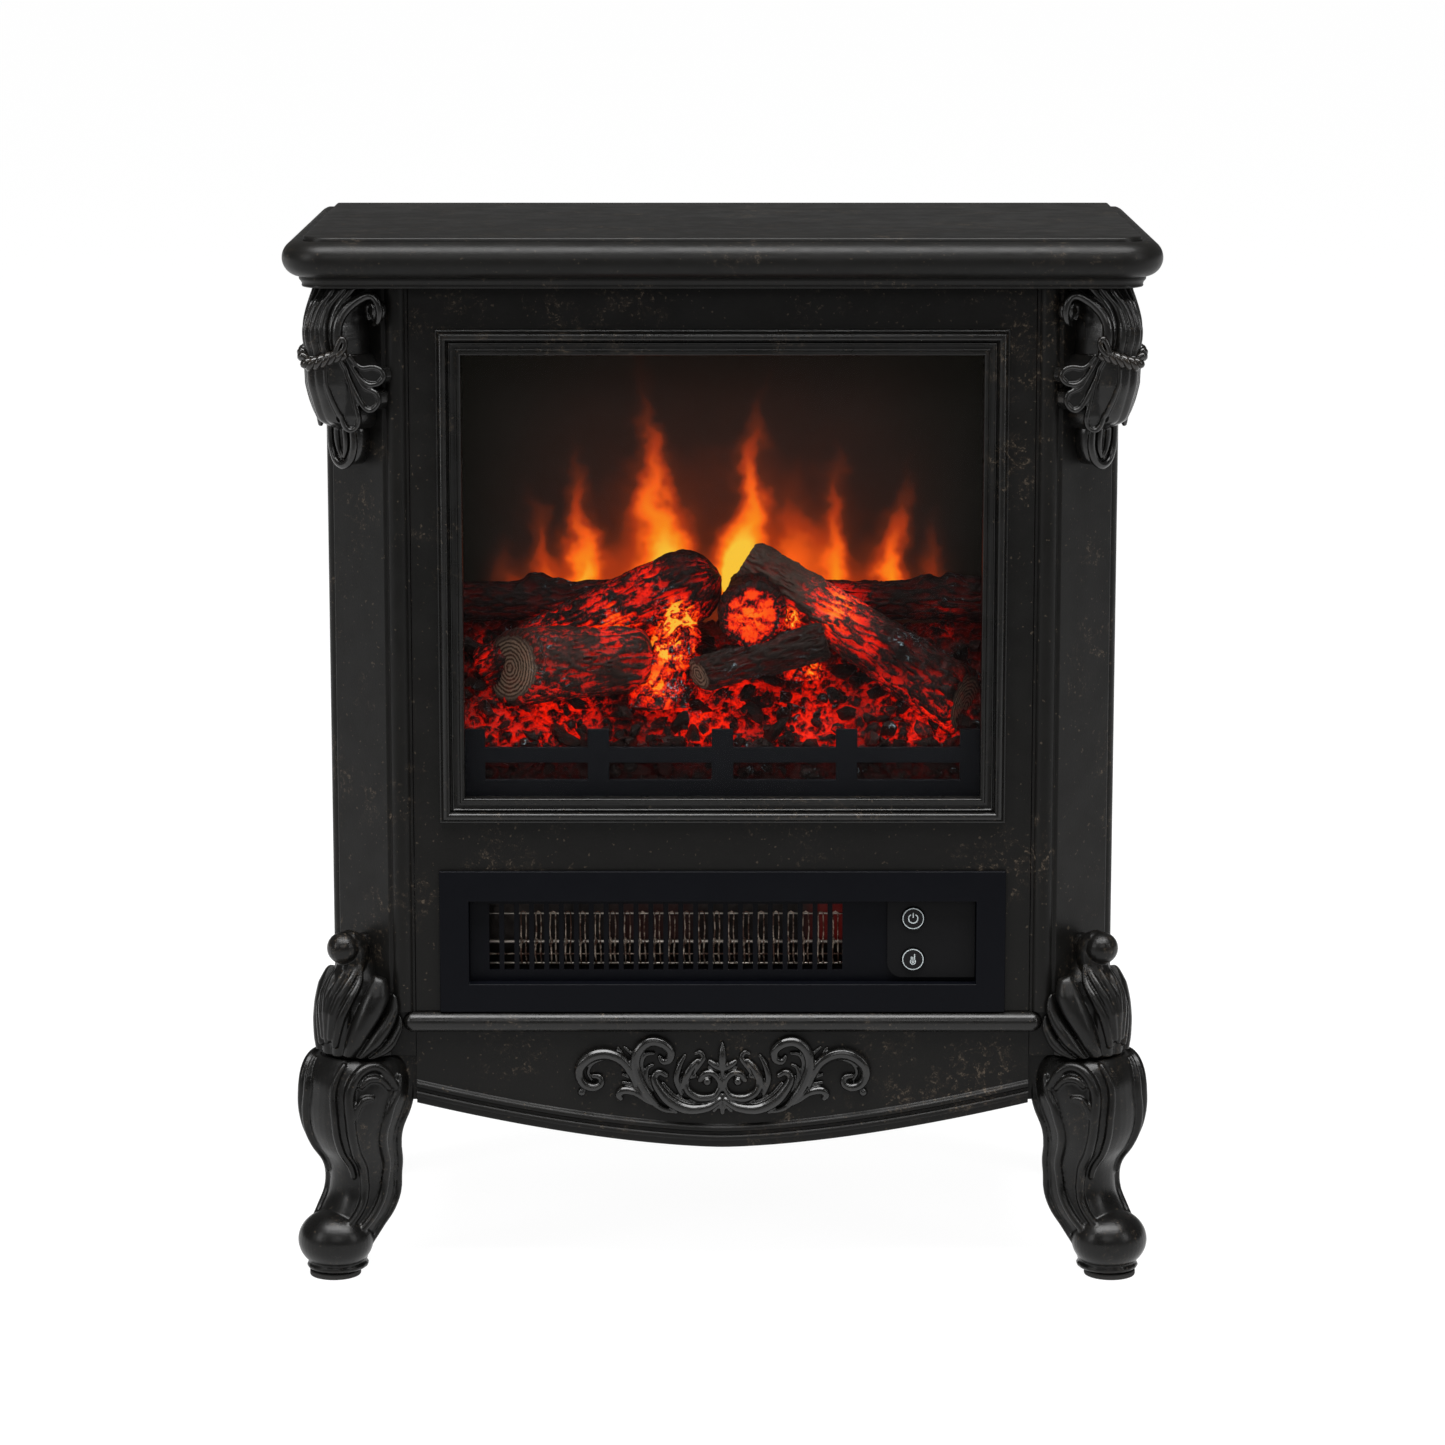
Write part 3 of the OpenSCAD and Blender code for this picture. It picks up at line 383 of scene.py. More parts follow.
def flame_look():
    """Dark frosted panel with flames thrown on it from behind."""
    look = Look("flame_screen")
    look.colour(look.noise(20.0, 2.0), (0.008, 0.007, 0.006), (0.012, 0.011, 0.009))
    look.roughness(500.0, 2.0, 0.5, 0.6)
    look.set("Specular IOR Level", 0.08)
    flat_x, _, flat_z = look.axes()
    wisps = look.noise(30.0, 3.0, 0.6)
    flicker = look.noise(85.0, 2.0, 0.5)
    warp = look.product(look.math("SUBTRACT", wisps, 0.5), 0.030)
    ripple = look.product(look.math("SUBTRACT", flicker, 0.5), 0.005)
    x = look.math("ADD", flat_x, look.math("ADD", warp, ripple))
    z = look.math("ADD", flat_z, look.product(warp, 0.8))
    total = None
    for *flame, power in FLAMES:
        part = look.product(tongue(look, x, z, *flame), power)
        total = part if total is None else look.math("ADD", total, part)
    haze_up = look.step(flat_z, 0.560, 0.390)
    haze_in = look.step(look.math("ABSOLUTE", flat_x), 0.160, 0.020)
    haze = look.product(haze_up, haze_in, look.step(wisps, 0.2, 0.8, 0.7, 1.0), 0.46)
    heat = look.math("ADD", look.product(total, 0.62), look.product(haze, 0.72))
    low_core = look.product(look.step(flat_z, 0.440, 0.398), look.step(total, 0.5, 1.1), 0.26)
    look.emit(look.ramp(look.math("ADD", heat, low_core), [
        (0.0, (0.0018, 0.0016, 0.0010)), (0.12, (0.019, 0.0042, 0.0018)), (0.28, (0.095, 0.012, 0.002)),
        (0.44, (0.42, 0.035, 0.002)), (0.60, (0.95, 0.110, 0.004)), (0.80, (1.0, 0.26, 0.006)),
        (1.0, (1.0, 0.58, 0.04)),
    ]))
    look.bump(look.noise(1200.0, 1.0), 0.02)
    return look.material


def printed_look():
    """Pale printing ink."""
    look = Look("legend")
    look.colour(look.noise(400.0, 2.0), (0.36, 0.41, 0.42), (0.46, 0.50, 0.51))
    look.roughness(700.0, 1.0, 0.45, 0.6)
    return look.material


def wire_look():
    """Heating wire, dull brown with pale oxide."""
    look = Look("heating_wire", Metallic=0.6)
    oxide = look.step(look.noise(300.0, 3.0), 0.42, 0.62)
    look.colour(oxide, (0.10, 0.05, 0.035), (0.52, 0.42, 0.34))
    look.roughness(800.0, 2.0, 0.25, 0.45)
    look.bump(look.noise(1500.0, 1.0), 0.05)
    return look.material


def foil_look():
    """Creased reflector foil with a dull red glow painted on it, standing in for light from the wires, which
    do not glow themselves.
    """
    look = Look("reflector_foil", Metallic=0.9)
    crease = look.noise(70.0, 3.0, 0.6)
    look.colour(crease, (0.008, 0.007, 0.007), (0.04, 0.033, 0.03))
    look.roughness(200.0, 2.0, 0.3, 0.5)
    x, _, z = look.axes()
    # Painted glow: red emission on the foil's left part and right end above a height, in place of light
    # thrown by the wires.
    painted_glow_left = look.step(look.math("ABSOLUTE", look.math("ADD", x, 0.040)), 0.034, 0.012, 0.0, 0.12)
    warm = look.math("MAXIMUM", painted_glow_left, look.step(x, 0.045, 0.062))
    upper = look.step(z, 0.188, 0.196)
    look.emit(look.mix(look.product(warm, upper), (0.0, 0.0, 0.0), (0.036, 0.0009, 0.0006)))
    look.bump(crease, 0.8)
    return look.material


def board_look():
    """Green circuit board with a fine track pattern."""
    look = Look("circuit_board")
    cells = look.add("ShaderNodeTexVoronoi", {"Vector": look.place, "Scale": 260.0}, distance="MANHATTAN")
    look.colour(look.step(cells, 0.1, 0.4), (0.012, 0.075, 0.03), (0.02, 0.13, 0.055))
    look.roughness(300.0, 1.0, 0.3, 0.42)
    return look.material


def felt_look():
    """Matted dark felt."""
    look = Look("felt_pad", Roughness=0.95)
    fibres = look.noise(1400.0, 4.0, 0.8)
    look.colour(fibres, (0.008, 0.008, 0.008), (0.03, 0.028, 0.026))
    look.bump(fibres, 0.4)
    return look.material


def floor_look():
    """White sweep, lit from within where the cabinet stands and dimmer towards the front."""
    look = Look("floor")
    look.colour(look.noise(1.5, 2.0), (0.12, 0.12, 0.12), (0.13, 0.13, 0.13))
    look.set("Roughness", 0.9)
    look.set("Specular IOR Level", 0.0)
    look.set("Emission Color", (1.0, 1.0, 1.0))
    look.set("Emission Strength", look.step(look.axes()[1], -1.6, -0.45, 0.16, 0.96))
    return look.material


LOOKS = {
    "board": antique_look("antique_board", base=0.0044, flecks=0.8, rough=0.38, shine=0.17),
    "panel": antique_look("antique_metal", base=0.0038, flecks=1.0, shine=0.15),
    "moulding": antique_look("antique_moulding", base=0.0036, flecks=1.0, rough=0.28, shine=0.33),
    "casting": antique_look("antique_casting", base=0.0026, flecks=0.5, rub_and_highlight=1.0, rough=0.21, shine=0.50),
    "leg": antique_look("antique_leg", base=0.0024, flecks=0.8, rub_and_highlight=0.7, rough=0.30, shine=0.24),
    "firebox": plastic_look("firebox_black", (0.003, 0.003, 0.0032), 0.62, 0.08, 0.08),
    "grate": plastic_look("grate_black", (0.0022, 0.0025, 0.0036), 0.5, 0.05, 0.08),
    "heater": plastic_look("heater_plastic", (0.0015, 0.0017, 0.0028), 0.38, 0.02, 0.08),
    "control": plastic_look("control_plastic", (0.0030, 0.0030, 0.0034), 0.46, 0.05, 0.10),
    "button": plastic_look("button_plastic", (0.0045, 0.0045, 0.005), 0.42, 0.02, 0.13),
    "black": plastic_look("black_plastic", (0.012, 0.012, 0.012), 0.5),
    "zinc": metal_look("zinc_steel", (0.56, 0.57, 0.58), 0.36),
    "motor": metal_look("motor_metal", (0.34, 0.34, 0.35), 0.42, (0.1, 1.0, 1.0)),
    "rail": metal_look("element_rail", (0.60, 0.54, 0.48), 0.34, (0.1, 1.0, 1.0)),
    "glass": glass_look(),
    "char": char_look("log_resin"),
    "ember": char_look("ember_resin", ash=1.4),
    "flames": flame_look(),
    "legend": printed_look(),
    "wire": wire_look(),
    "foil": foil_look(),
    "circuit": board_look(),
    "felt": felt_look(),
}


# Shape helpers ------------------------------------------------------------------------------

class Shape:
    """Points in millimetres and faces, gathered from several closed skins."""

    def __init__(self):
        self.points = []
        self.faces = []

    def add(self, skin):
        points, faces = skin
        first = len(self.points)
        self.points.extend(points)
        self.faces.extend([tuple(first + i for i in face) for face in faces])
        return self

    def object(self, name):
        mesh = bpy.data.meshes.new(name)
        mesh.from_pydata([Vector(p) * MM for p in self.points], [], self.faces)
        return linked(name, mesh)


def tidy(piece, angle=42):
    """Normals outwards, and smooth shading broken at sharp edges."""
    mesh = bmesh.new()
    mesh.from_mesh(piece.data)
    bmesh.ops.recalc_face_normals(mesh, faces=mesh.faces)
    mesh.to_mesh(piece.data)
    mesh.free()
    piece.data.shade_smooth()
    piece.data.set_sharp_from_angle(angle=math.radians(angle))


def place(piece, look, slot, *nodes, body="cabinet", angle=42):
    """Finishes a piece: look, body and the CAD nodes that it stands for. The slot is not used."""
    piece.data.materials.clear()
    piece.data.materials.append(LOOKS[look])
    tidy(piece, angle)
    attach(piece, body)
    if nodes:
        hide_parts(*nodes)
    return piece


def apply_modifiers(piece):
    """Turns the modified mesh into the piece's own."""
    seen = piece.evaluated_get(bpy.context.evaluated_depsgraph_get())
    piece.data = bpy.data.meshes.new_from_object(seen)
    piece.modifiers.clear()


def fuse(piece, voxel, rounds):
    """Melts overlapping skins into one and softens it."""
    skin = piece.modifiers.new("skin", "REMESH")
    skin.mode = "VOXEL"
    skin.voxel_size = voxel * MM
    soft = piece.modifiers.new("soft", "SMOOTH")
    soft.factor = 0.5
    soft.iterations = rounds
    apply_modifiers(piece)


def mirrored(piece, name):
    """Copy of a piece across the middle of the cabinet."""
    twin = linked(name, piece.data.copy())
    twin.data.transform(Matrix.Scale(-1, 4, (1, 0, 0)))
    twin.data.flip_normals()
    return twin


def softened(node, name, width, look, slot, body="cabinet", segments=2):
    """Copy of a CAD node with its sharp edges rounded."""
    mesh = bmesh.new()
    mesh.from_mesh(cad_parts[node].data)
    bmesh.ops.remove_doubles(mesh, verts=mesh.verts, dist=0.00002)
    bmesh.ops.dissolve_limit(mesh, angle_limit=math.radians(0.6), verts=mesh.verts, edges=mesh.edges)
    sharp = [e for e in mesh.edges if e.is_manifold and e.calc_face_angle(0.0) > math.radians(32)]
    bmesh.ops.bevel(mesh, geom=sharp, offset=width * MM, segments=segments, profile=0.5,
                    affect="EDGES", clamp_overlap=True)
    data = bpy.data.meshes.new(name)
    mesh.to_mesh(data)
    mesh.free()
    piece = linked(name, data)
    even = piece.modifiers.new("even", "WEIGHTED_NORMAL")
    even.keep_sharp = True
    return place(piece, look, slot, node, body=body, angle=50)


def curve(points, steps=8):
    """Smooth line through points with any number of values each."""
    ends = [points[0], *points, points[-1]]
    line = []
    for i in range(len(points) - 1):
        a, b, c, d = ends[i:i + 4]
        for k in range(steps):
            t = k / steps
            line.append(tuple(
                0.5 * (2 * q + (r - p) * t
                       + (2 * p - 5 * q + 4 * r - s) * t * t
                       + (3 * q - p - 3 * r + s) * t ** 3)
                for p, q, r, s in zip(a, b, c, d)
            ))
    line.append(tuple(points[-1]))
    return line


def blend_keys(keys, value):
    """Row of a table of keys at a value, by straight lines."""
    if value <= keys[0][0]:
        return keys[0]
    for low, high in zip(keys, keys[1:]):
        if value <= high[0]:
            t = (value - low[0]) / (high[0] - low[0])
            return [a + (b - a) * t for a, b in zip(low, high)]
    return keys[-1]


def loft(rings, caps=True):
    """Skin through rings with equal numbers of points, closed by caps."""
    sides = len(rings[0])
    points = [p for ring in rings for p in ring]
    faces = []
    for k in range(len(rings) - 1):
        for i in range(sides):
            j = (i + 1) % sides
            faces.append((k * sides + i, k * sides + j, (k + 1) * sides + j, (k + 1) * sides + i))
    if caps:
        faces.append(tuple(range(sides))[::-1])
        faces.append(tuple((len(rings) - 1) * sides + i for i in range(sides)))
    return points, faces


def tube(path, sides=10):
    """Bar with domed ends along (x, y, z, radius) points."""
    spots = [Vector(p[:3]) for p in path]
    radii = [p[3] for p in path]
    rows = []
    for i, spot in enumerate(spots):
        ahead = spots[min(i + 1, len(spots) - 1)] - spots[max(i - 1, 0)]
        rows.append((spot, ahead.normalized(), radii[i]))
    first, last = rows[0], rows[-1]
    dome = [math.radians(a) for a in (84, 60, 32)]
    head = [(first[0] - first[1] * first[2] * math.sin(a), first[1], first[2] * math.cos(a)) for a in dome]
    tail = [(last[0] + last[1] * last[2] * math.sin(a), last[1], last[2] * math.cos(a)) for a in dome[::-1]]
    side = rows[0][1].orthogonal().normalized()
    rings = []
    for spot, ahead, radius in head + rows + tail:
        side = (side - ahead * side.dot(ahead)).normalized()
        up = ahead.cross(side)
        rings.append([
            spot + (side * math.cos(a) + up * math.sin(a)) * radius
            for a in turns(sides)
        ])
    return loft(rings)


def turns(sides):
    """Angles evenly round a circle."""
    return [2 * math.pi * i / sides for i in range(sides)]


def ellipsoid(centre, radii, rings=12, sides=20):
    """Closed ball stretched along the axes."""
    wide, deep, tall = radii
    rows = []
    for k in range(rings + 1):
        a = math.pi * (0.02 + 0.96 * k / rings)
        rows.append([
            Vector(centre) + Vector((
                wide * math.sin(a) * math.cos(b), deep * math.sin(a) * math.sin(b), tall * math.cos(a)
            ))
            for b in turns(sides)
        ])
    return loft(rows)


# Mantel, cornice and cabinet ------------------------------------------------------------------

MANTEL_CORNER_R = 28.0
BULLNOSE_R = 10.5
BOARD_THICK = 23


def mantel_ring(inset, back_inset, z):
    """Outline of the mantel at a height, moved inwards."""
    corner_r = MANTEL_CORNER_R - inset
    half = MANTEL_HIGH.x - inset
    near = MANTEL_LOW.y + inset
    far = MANTEL_HIGH.y - back_inset
    steps = 18
    ring = []
    for start, centre_x in ((180, -half + corner_r), (270, half - corner_r)):
        for i in range(steps + 1):
            a = math.radians(start + 90 * i / steps)
            y = near + corner_r + corner_r * math.sin(a)
            ring.append((centre_x + corner_r * math.cos(a), y, z))
    return ring + [(half, far, z), (-half, far, z)]


def make_mantel():
    """Bullnosed board with a groove round a raised field."""
    field_rise = 2
    nose_z = MANTEL_HIGH.z - field_rise - BULLNOSE_R
    steps = 26
    rings = []
    for i in range(steps + 1):
        a = math.radians(-90 + 165 * i / steps)
        rings.append(mantel_ring(BULLNOSE_R * (1 - math.cos(a)), 0.0, nose_z + BULLNOSE_R * math.sin(a)))
    field = [
        (9.6, -3.1), (10.6, -3.7), (11.6, -3.7), (12.0, -3.2), (12.1, -1.4), (12.4, -0.7), (13.0, -0.2),
        (13.9, 0.0),
    ]
    rings += [mantel_ring(inset, 1.0, MANTEL_HIGH.z + drop) for inset, drop in field]
    piece = Shape().add(loft(rings)).object("mantel_board")
    place(piece, "board", "antique_board", "mantel_top", angle=30)


def make_cornice():
    """Small moulded step under the mantel."""
    height = MANTEL_HIGH.z - BOARD_THICK - CABINET_Z
    profile = [
        (12.4, 0.0), (11.4, 0.25), (11.0, 0.9), (11.2, 1.7), (11.0, 2.6), (10.3, 3.6), (9.7, 4.2),
        (9.5, 4.8), (9.5, height),
    ]
    rings = [mantel_ring(inset, 4.0, CABINET_Z + rise) for inset, rise in profile]
    piece = Shape().add(loft(rings)).object("cornice_moulding")
    place(piece, "board", "antique_board", "cornice_trim")


def make_panels():
    """Sheet panels and posts with their edges just broken."""
    softened("front_panel", "front_sheet", 0.35, "panel", "antique_metal")
    softened("back_panel", "back_sheet", 0.25, "panel", "antique_metal")
    for side in ("left", "right"):
        softened("corner_post_" + side, "post_" + side, 0.6, "panel", "antique_metal", segments=3)
        softened("side_panel_" + side, "side_sheet_" + side, 0.4, "panel", "antique_metal")


def frame_sweep(low, high, profile):
    """Mitred frame round an opening; profile holds (outwards, proud) distances from its edge."""
    corners = [(low.x, low.z, -1, -1), (high.x, low.z, 1, -1), (high.x, high.z, 1, 1), (low.x, high.z, -1, 1)]
    points = []
    for x, z, across, up in corners:
        for out, proud in profile:
            points.append((x + across * out, FRONT_Y - proud, z + up * out))
    count = len(profile)
    faces = []
    for k in range(4):
        n = (k + 1) % 4
        for i in range(count):
            j = (i + 1) % count
            faces.append((k * count + i, n * count + i, n * count + j, k * count + j))
    return points, faces


def make_bezel():
    """Window moulding: a fine bead and cove inside a bold outer bead."""
    hold = 6.8
    low = GLASS_LOW + Vector((hold, 0, hold))
    high = GLASS_HIGH - Vector((hold, 0, hold))
    profile = [
        (-1.5, -5.5), (-1.5, 1.6), (-1.3, 2.2), (-0.8, 2.7), (0.0, 2.9), (0.8, 2.7), (1.2, 2.1),
        (1.4, 1.2), (2.0, 0.9), (3.6, 0.8), (4.6, 1.1), (5.0, 1.8), (5.4, 2.0), (5.8, 1.6), (6.0, 0.5),
        (6.5, 0.4), (6.6, 2.2), (6.9, 3.3), (7.5, 4.2), (8.3, 4.8), (9.2, 5.0), (10.1, 4.7),
        (10.9, 4.0), (11.5, 3.1), (11.9, 2.2), (12.2, 1.6), (12.6, 1.4), (12.9, 1.2), (13.0, 0.7),
        (13.0, 0.0), (5.5, 0.0), (5.5, -5.5),
    ]
    piece = Shape().add(frame_sweep(low, high, profile)).object("window_moulding")
    place(piece, "moulding", "antique_metal", "window_bezel", angle=35)


def make_sill():
    """Half-round rail with domed ends."""
    radius = (RAIL_HIGH.z - RAIL_LOW.z) / 2
    centre_z = (RAIL_HIGH.z + RAIL_LOW.z) / 2
    half = RAIL_HIGH.x
    rings = []
    stations = []
    for degrees in range(0, 90, 9):
        a = math.radians(degrees)
        stations.append((half - radius * (1 - math.sin(a)), max(math.cos(a), 0.05)))
    for x, scale in [(-x, s) for x, s in reversed(stations)] + stations:
        ring = []
        for i in range(21):
            a = math.radians(-90 + 180 * i / 20)
            size = radius * scale
            ring.append((x, FRONT_Y - size * math.cos(a), centre_z + size * math.sin(a)))
        rings.append(ring)
    piece = Shape().add(loft(rings)).object("sill_moulding")
    place(piece, "moulding", "antique_metal", "sill_rail")


APRON_HALF = node_box("apron")[1].x
APRON_TOP = node_box("apron")[1].z
APRON_MID = node_box("apron")[0].z
APRON_RISE = 27.0
# Heights of the tabs that tuck the apron's ends behind the legs
TAB_LOW = 104.2
TAB_HIGH = 136


def make_apron():
    """Curved valance with a pair of beads along its lower edge."""
    profile = [
        (0.0, -3.0), (0.0, 0.1), (0.35, 0.6), (1.0, 0.8), (3.2, 0.75), (3.8, 0.9), (4.1, 1.5),
        (4.8, 2.15), (5.7, 2.35), (6.6, 2.1), (7.3, 1.4), (7.7, 0.6), (8.3, 0.3), (8.9, 0.35),
        (9.3, 1.0), (9.8, 1.8), (10.6, 2.4), (11.6, 2.45), (12.5, 1.95), (13.1, 1.1), (13.5, 0.4),
        (14.0, 0.0),
    ]
    steps = 80
    rings = []
    for i in range(steps + 1):
        x = APRON_HALF * (2 * i / steps - 1)
        edge = APRON_MID + APRON_RISE * (abs(x) / APRON_HALF) ** 1.6
        ring = [(x, FRONT_Y - proud, edge + lift) for lift, proud in profile]
        rings.append(ring + [(x, FRONT_Y, APRON_TOP), (x, FRONT_Y + 3, APRON_TOP)])
    shape = Shape().add(loft(rings))
    for side in (-1, 1):
        tab = []
        for x in (side * (APRON_HALF - 8), side * (APRON_HALF + 12)):
            front, back = FRONT_Y + 3, FRONT_Y + 5
            tab.append([(x, front, TAB_LOW), (x, front, TAB_HIGH), (x, back, TAB_HIGH), (x, back, TAB_LOW)])
        shape.add(loft(tab))
    piece = shape.object("apron_sheet")
    place(piece, "panel", "antique_metal", "apron", angle=35)


# Carved ornaments -------------------------------------------------------------------------------

def stroke(points, depth, lift, steps=8):
    """Raised bar along (across, height, radius) points, sunk in a surface that depth describes."""
    return tube([(u, -(depth(u, z) + lift * r), z, r) for u, z, r in curve(points, steps)])


def both_ways(points):
    """A stroke and its mirror image."""
    return points, [(-u, *rest) for u, *rest in points]


def lobe(left, right, depth, steps=7, across=16):
    """Flat leaf between two edges, lying on a surface that depth describes."""
    rows = []
    for a, b in zip(curve(left, steps), curve(right, steps)):
        row = []
        for i in range(across + 1):
            t = i / across
            u = a[0] + (b[0] - a[0]) * t
            z = a[1] + (b[1] - a[1]) * t
            row.append((u, -depth(u, z), z))
        rows.append(row + [(b[0], 1.5, b[1]), (a[0], 1.5, a[1])])
    return loft(rows)


def half_oval(keys, inset=0.0, floor=0.0):
    """Depth function of a half-oval body: keys hold height, half width and depth."""
    def depth(u, z):
        _, half, deep = blend_keys(keys, z)
        return max((deep - inset) * math.sqrt(max(0.0, 1 - (u / half) ** 2)), floor)
    return depth


def corner_pair(shape, stem, look, nodes, voxel=None, rounds=0):
    """Casts a shape made on a slanted corner face, for the left and the right corner."""
    turn = Matrix.Translation((-CORNER_X, CORNER_Y, 0)) @ Matrix.Rotation(math.radians(-45), 4, "Z")
    shape.points = [turn @ Vector(p) for p in shape.points]
    left = shape.object(stem + "_left")
    if voxel:
        fuse(left, voxel, rounds)
    right = mirrored(left, stem + "_right")
    for piece, side in ((left, "_left"), (right, "_right")):
        place(piece, look, "antique_casting", *([nodes + side] if nodes else []), angle=75)


# Height, half width and depth of the corbel's neck and of the body under its lobes
CORBEL_NECK = [
    (540, 15, 35.6), (545, 14.9, 36.2), (551, 14.8, 37.8), (557, 14.4, 38.2), (562, 14.2, 37),
    (568, 15, 34.5), (573, 17.6, 31.5), (577, 20.6, 28), (580.8, 23, 25.4),
]
CORBEL_BODY = [
    (475, 4, 8), (480, 7, 9), (489, 9.5, 10.5), (497, 8, 9), (499, 9.6, 14), (501.5, 11.4, 20.5),
    (504.5, 13, 26.4), (509, 14, 29.5), (517, 14.5, 32.5), (526, 15, 35.4), (536, 15, 36.2),
    (543, 15, 35.6),
]
# Height, half width and edge depth of the lobes' spread
CORBEL_SPREAD = [(475, 11, 9), (485, 14, 9), (497, 20, 8.6), (508, 25, 7), (518, 28, 5), (545, 31, 3.5)]


def ribbed_body(keys, low, high, ribs, relief, steps=70, sides=150):
    """Half-oval body, sunk by relief, with any ribs standing up in the middle of its width."""
    rings = []
    for k in range(steps + 1):
        z = low + (high - low) * k / steps
        _, half, deep = blend_keys(keys, z)
        ring = []
        for i in range(sides + 1):
            t = i / sides
            a = math.pi * (1 + t)
            rise = -relief
            if ribs and 2 / ribs < t < 1 - 2 / ribs:
                rise = relief * (abs(math.sin(math.pi * ribs * t)) ** 0.6 - 1.0)
            ring.append(((half + rise) * math.cos(a), (deep + rise) * math.sin(a), z))
        ring += [(half - relief, 1.5, z), (-half + relief, 1.5, z)]
        rings.append(ring)
    return loft(rings)


def make_corbel_neck():
    """Bundle of ribs with a bar at each side that curls into a scroll at the upper corner."""
    shape = Shape().add(ribbed_body(smooth_keys(CORBEL_NECK), 541, 580.6, 11, 2.4))
    volute = [
        (12.4, -23.8, 545, 2.9), (12.6, -25.0, 553, 3.1), (12.8, -24.6, 560, 3.2),
        (13.8, -22.0, 566, 3.2), (16.0, -18.2, 570.8, 3.1), (18.8, -14.4, 574.2, 2.9),
        (22.0, -10.8, 576.4, 2.6), (25.4, -8.4, 575.8, 2.4), (27.8, -7.2, 571.8, 2.2),
        (28.0, -6.4, 566.4, 2.0), (26.0, -6.0, 561.8, 1.7), (22.4, -5.6, 559.8, 1.3),
    ]
    coil = [
        (20.2, 563.4), (18.6, 566.6), (19.4, 570.6), (22.4, 571.8), (24.6, 569.4), (23.8, 566.6),
        (21.8, 566.8),
    ]
    for side in (-1, 1):
        line = [(side * u, y, z, r) for u, y, z, r in volute]
        shape.add(tube(curve(line, 7), 14))
        shape.add(ellipsoid((side * 21.8, -2.8, 567.6), (6.4, 5.4, 6.8)))
        shape.add(tube(curve([(side * u, -7.4, z, 1.3) for u, z in coil], 6), 10))
    return shape


# On the outer flank the middles of the lobes' rims keep above this height
OUTER_LOBE_STOP = 501.8
# Outlines of the corbel's lobes from the rope, round the tip and back: across, height
CORBEL_LOBES = [
    [(14.8, 542.5), (17.8, 537.4), (20.6, 535.6), (24.8, 536.2), (28.2, 534.6), (29.4, 530.6),
     (27.0, 526.8), (22.8, 526.0), (19.0, 529.4), (15.6, 536.4), (13.4, 541.5)],
    [(13.6, 541.0), (16.8, 532.5), (20.4, 525.4), (23.4, 523.0), (26.2, 520.6), (26.6, 515.6),
     (23.6, 511.4), (20.2, 513.0), (16.9, 521), (13.6, 531.5), (12.0, 540.5)],
    [(12.0, 540.4), (14.6, 526.4), (16.6, 514), (17.4, 507.0), (16.2, 502.2), (13.6, 499.6),
     (11.2, 500.8), (10.0, 506.4), (9.0, 517), (8.4, 528.0), (8.6, 540)],
]


def make_corbel_fan():
    """Lobes that spread from under the rope, each with a rolled rim, over a pendant tongue."""
    oval = half_oval(CORBEL_BODY)

    def spread(u, z):
        _, edge, low = blend_keys(CORBEL_SPREAD, z)
        return max(oval(u, z), low + max(0.0, edge - abs(u)) * 0.85)

    def sunk(u, z):
        return spread(u, z) - 1.2

    shape = Shape().add(ribbed_body(smooth_keys(CORBEL_BODY), 498, 542.6, 7, 1.5, 70, 110))
    for outline in CORBEL_LOBES:
        middle = len(outline) // 2
        for side in (-1, 1):
            stop = OUTER_LOBE_STOP if side < 0 else 0.0
            trimmed = [(side * u, max(z, stop)) for u, z in outline]
            rim = [(u, z, 1.55 if 1 < k < 9 else 1.2) for k, (u, z) in enumerate(trimmed)]
            shape.add(stroke(rim, spread, 0.5))
            left = trimmed[:middle + 1]
            right = trimmed[:middle - 1:-1]
            shape.add(lobe(left, right, sunk))

    def hanging(u, z):
        return 10.2 + 0.08 * (z - 476) - 0.012 * u * u

    tongue_rim = [
        (6.4, 508, 1.5), (9.0, 503, 1.9), (9.9, 496, 2.2), (9.5, 488.5, 2.3), (7.2, 482.2, 2.3),
        (3.8, 479.0, 2.3), (0.0, 477.8, 2.3),
    ]
    for points in both_ways(tongue_rim):
        shape.add(stroke(points, hanging, 0.4))
    rings = []
    for z, half in curve([(478, 3.4), (480, 7.0), (484, 9.4), (490, 10.8), (498, 11.0), (508, 8.8)], 5):
        deep = hanging(0, z) - 0.6
        edge = [round_square(half, deep, math.pi * (1 + i / 40), 3.6) for i in range(41)]
        rings.append([(u, y, z) for u, y in edge] + [(half, 1.5, z), (-half, 1.5, z)])
    shape.add(loft(rings))
    for points in both_ways([(2.8, 506, 1.7), (3.8, 496, 2.1), (3.2, 488, 1.8), (1.0, 483, 1.3)]):
        shape.add(stroke(points, hanging, 0.1))
    return shape


def rope_height(u):
    """Height of the rope's middle: low in front, climbing to both flanks and more to the outer."""
    if u > 0:
        return 537.8 + 0.034 * u * u
    return 537.8 + 7.0 * (1 - math.exp(u / 4.5)) + 0.008 * u * u


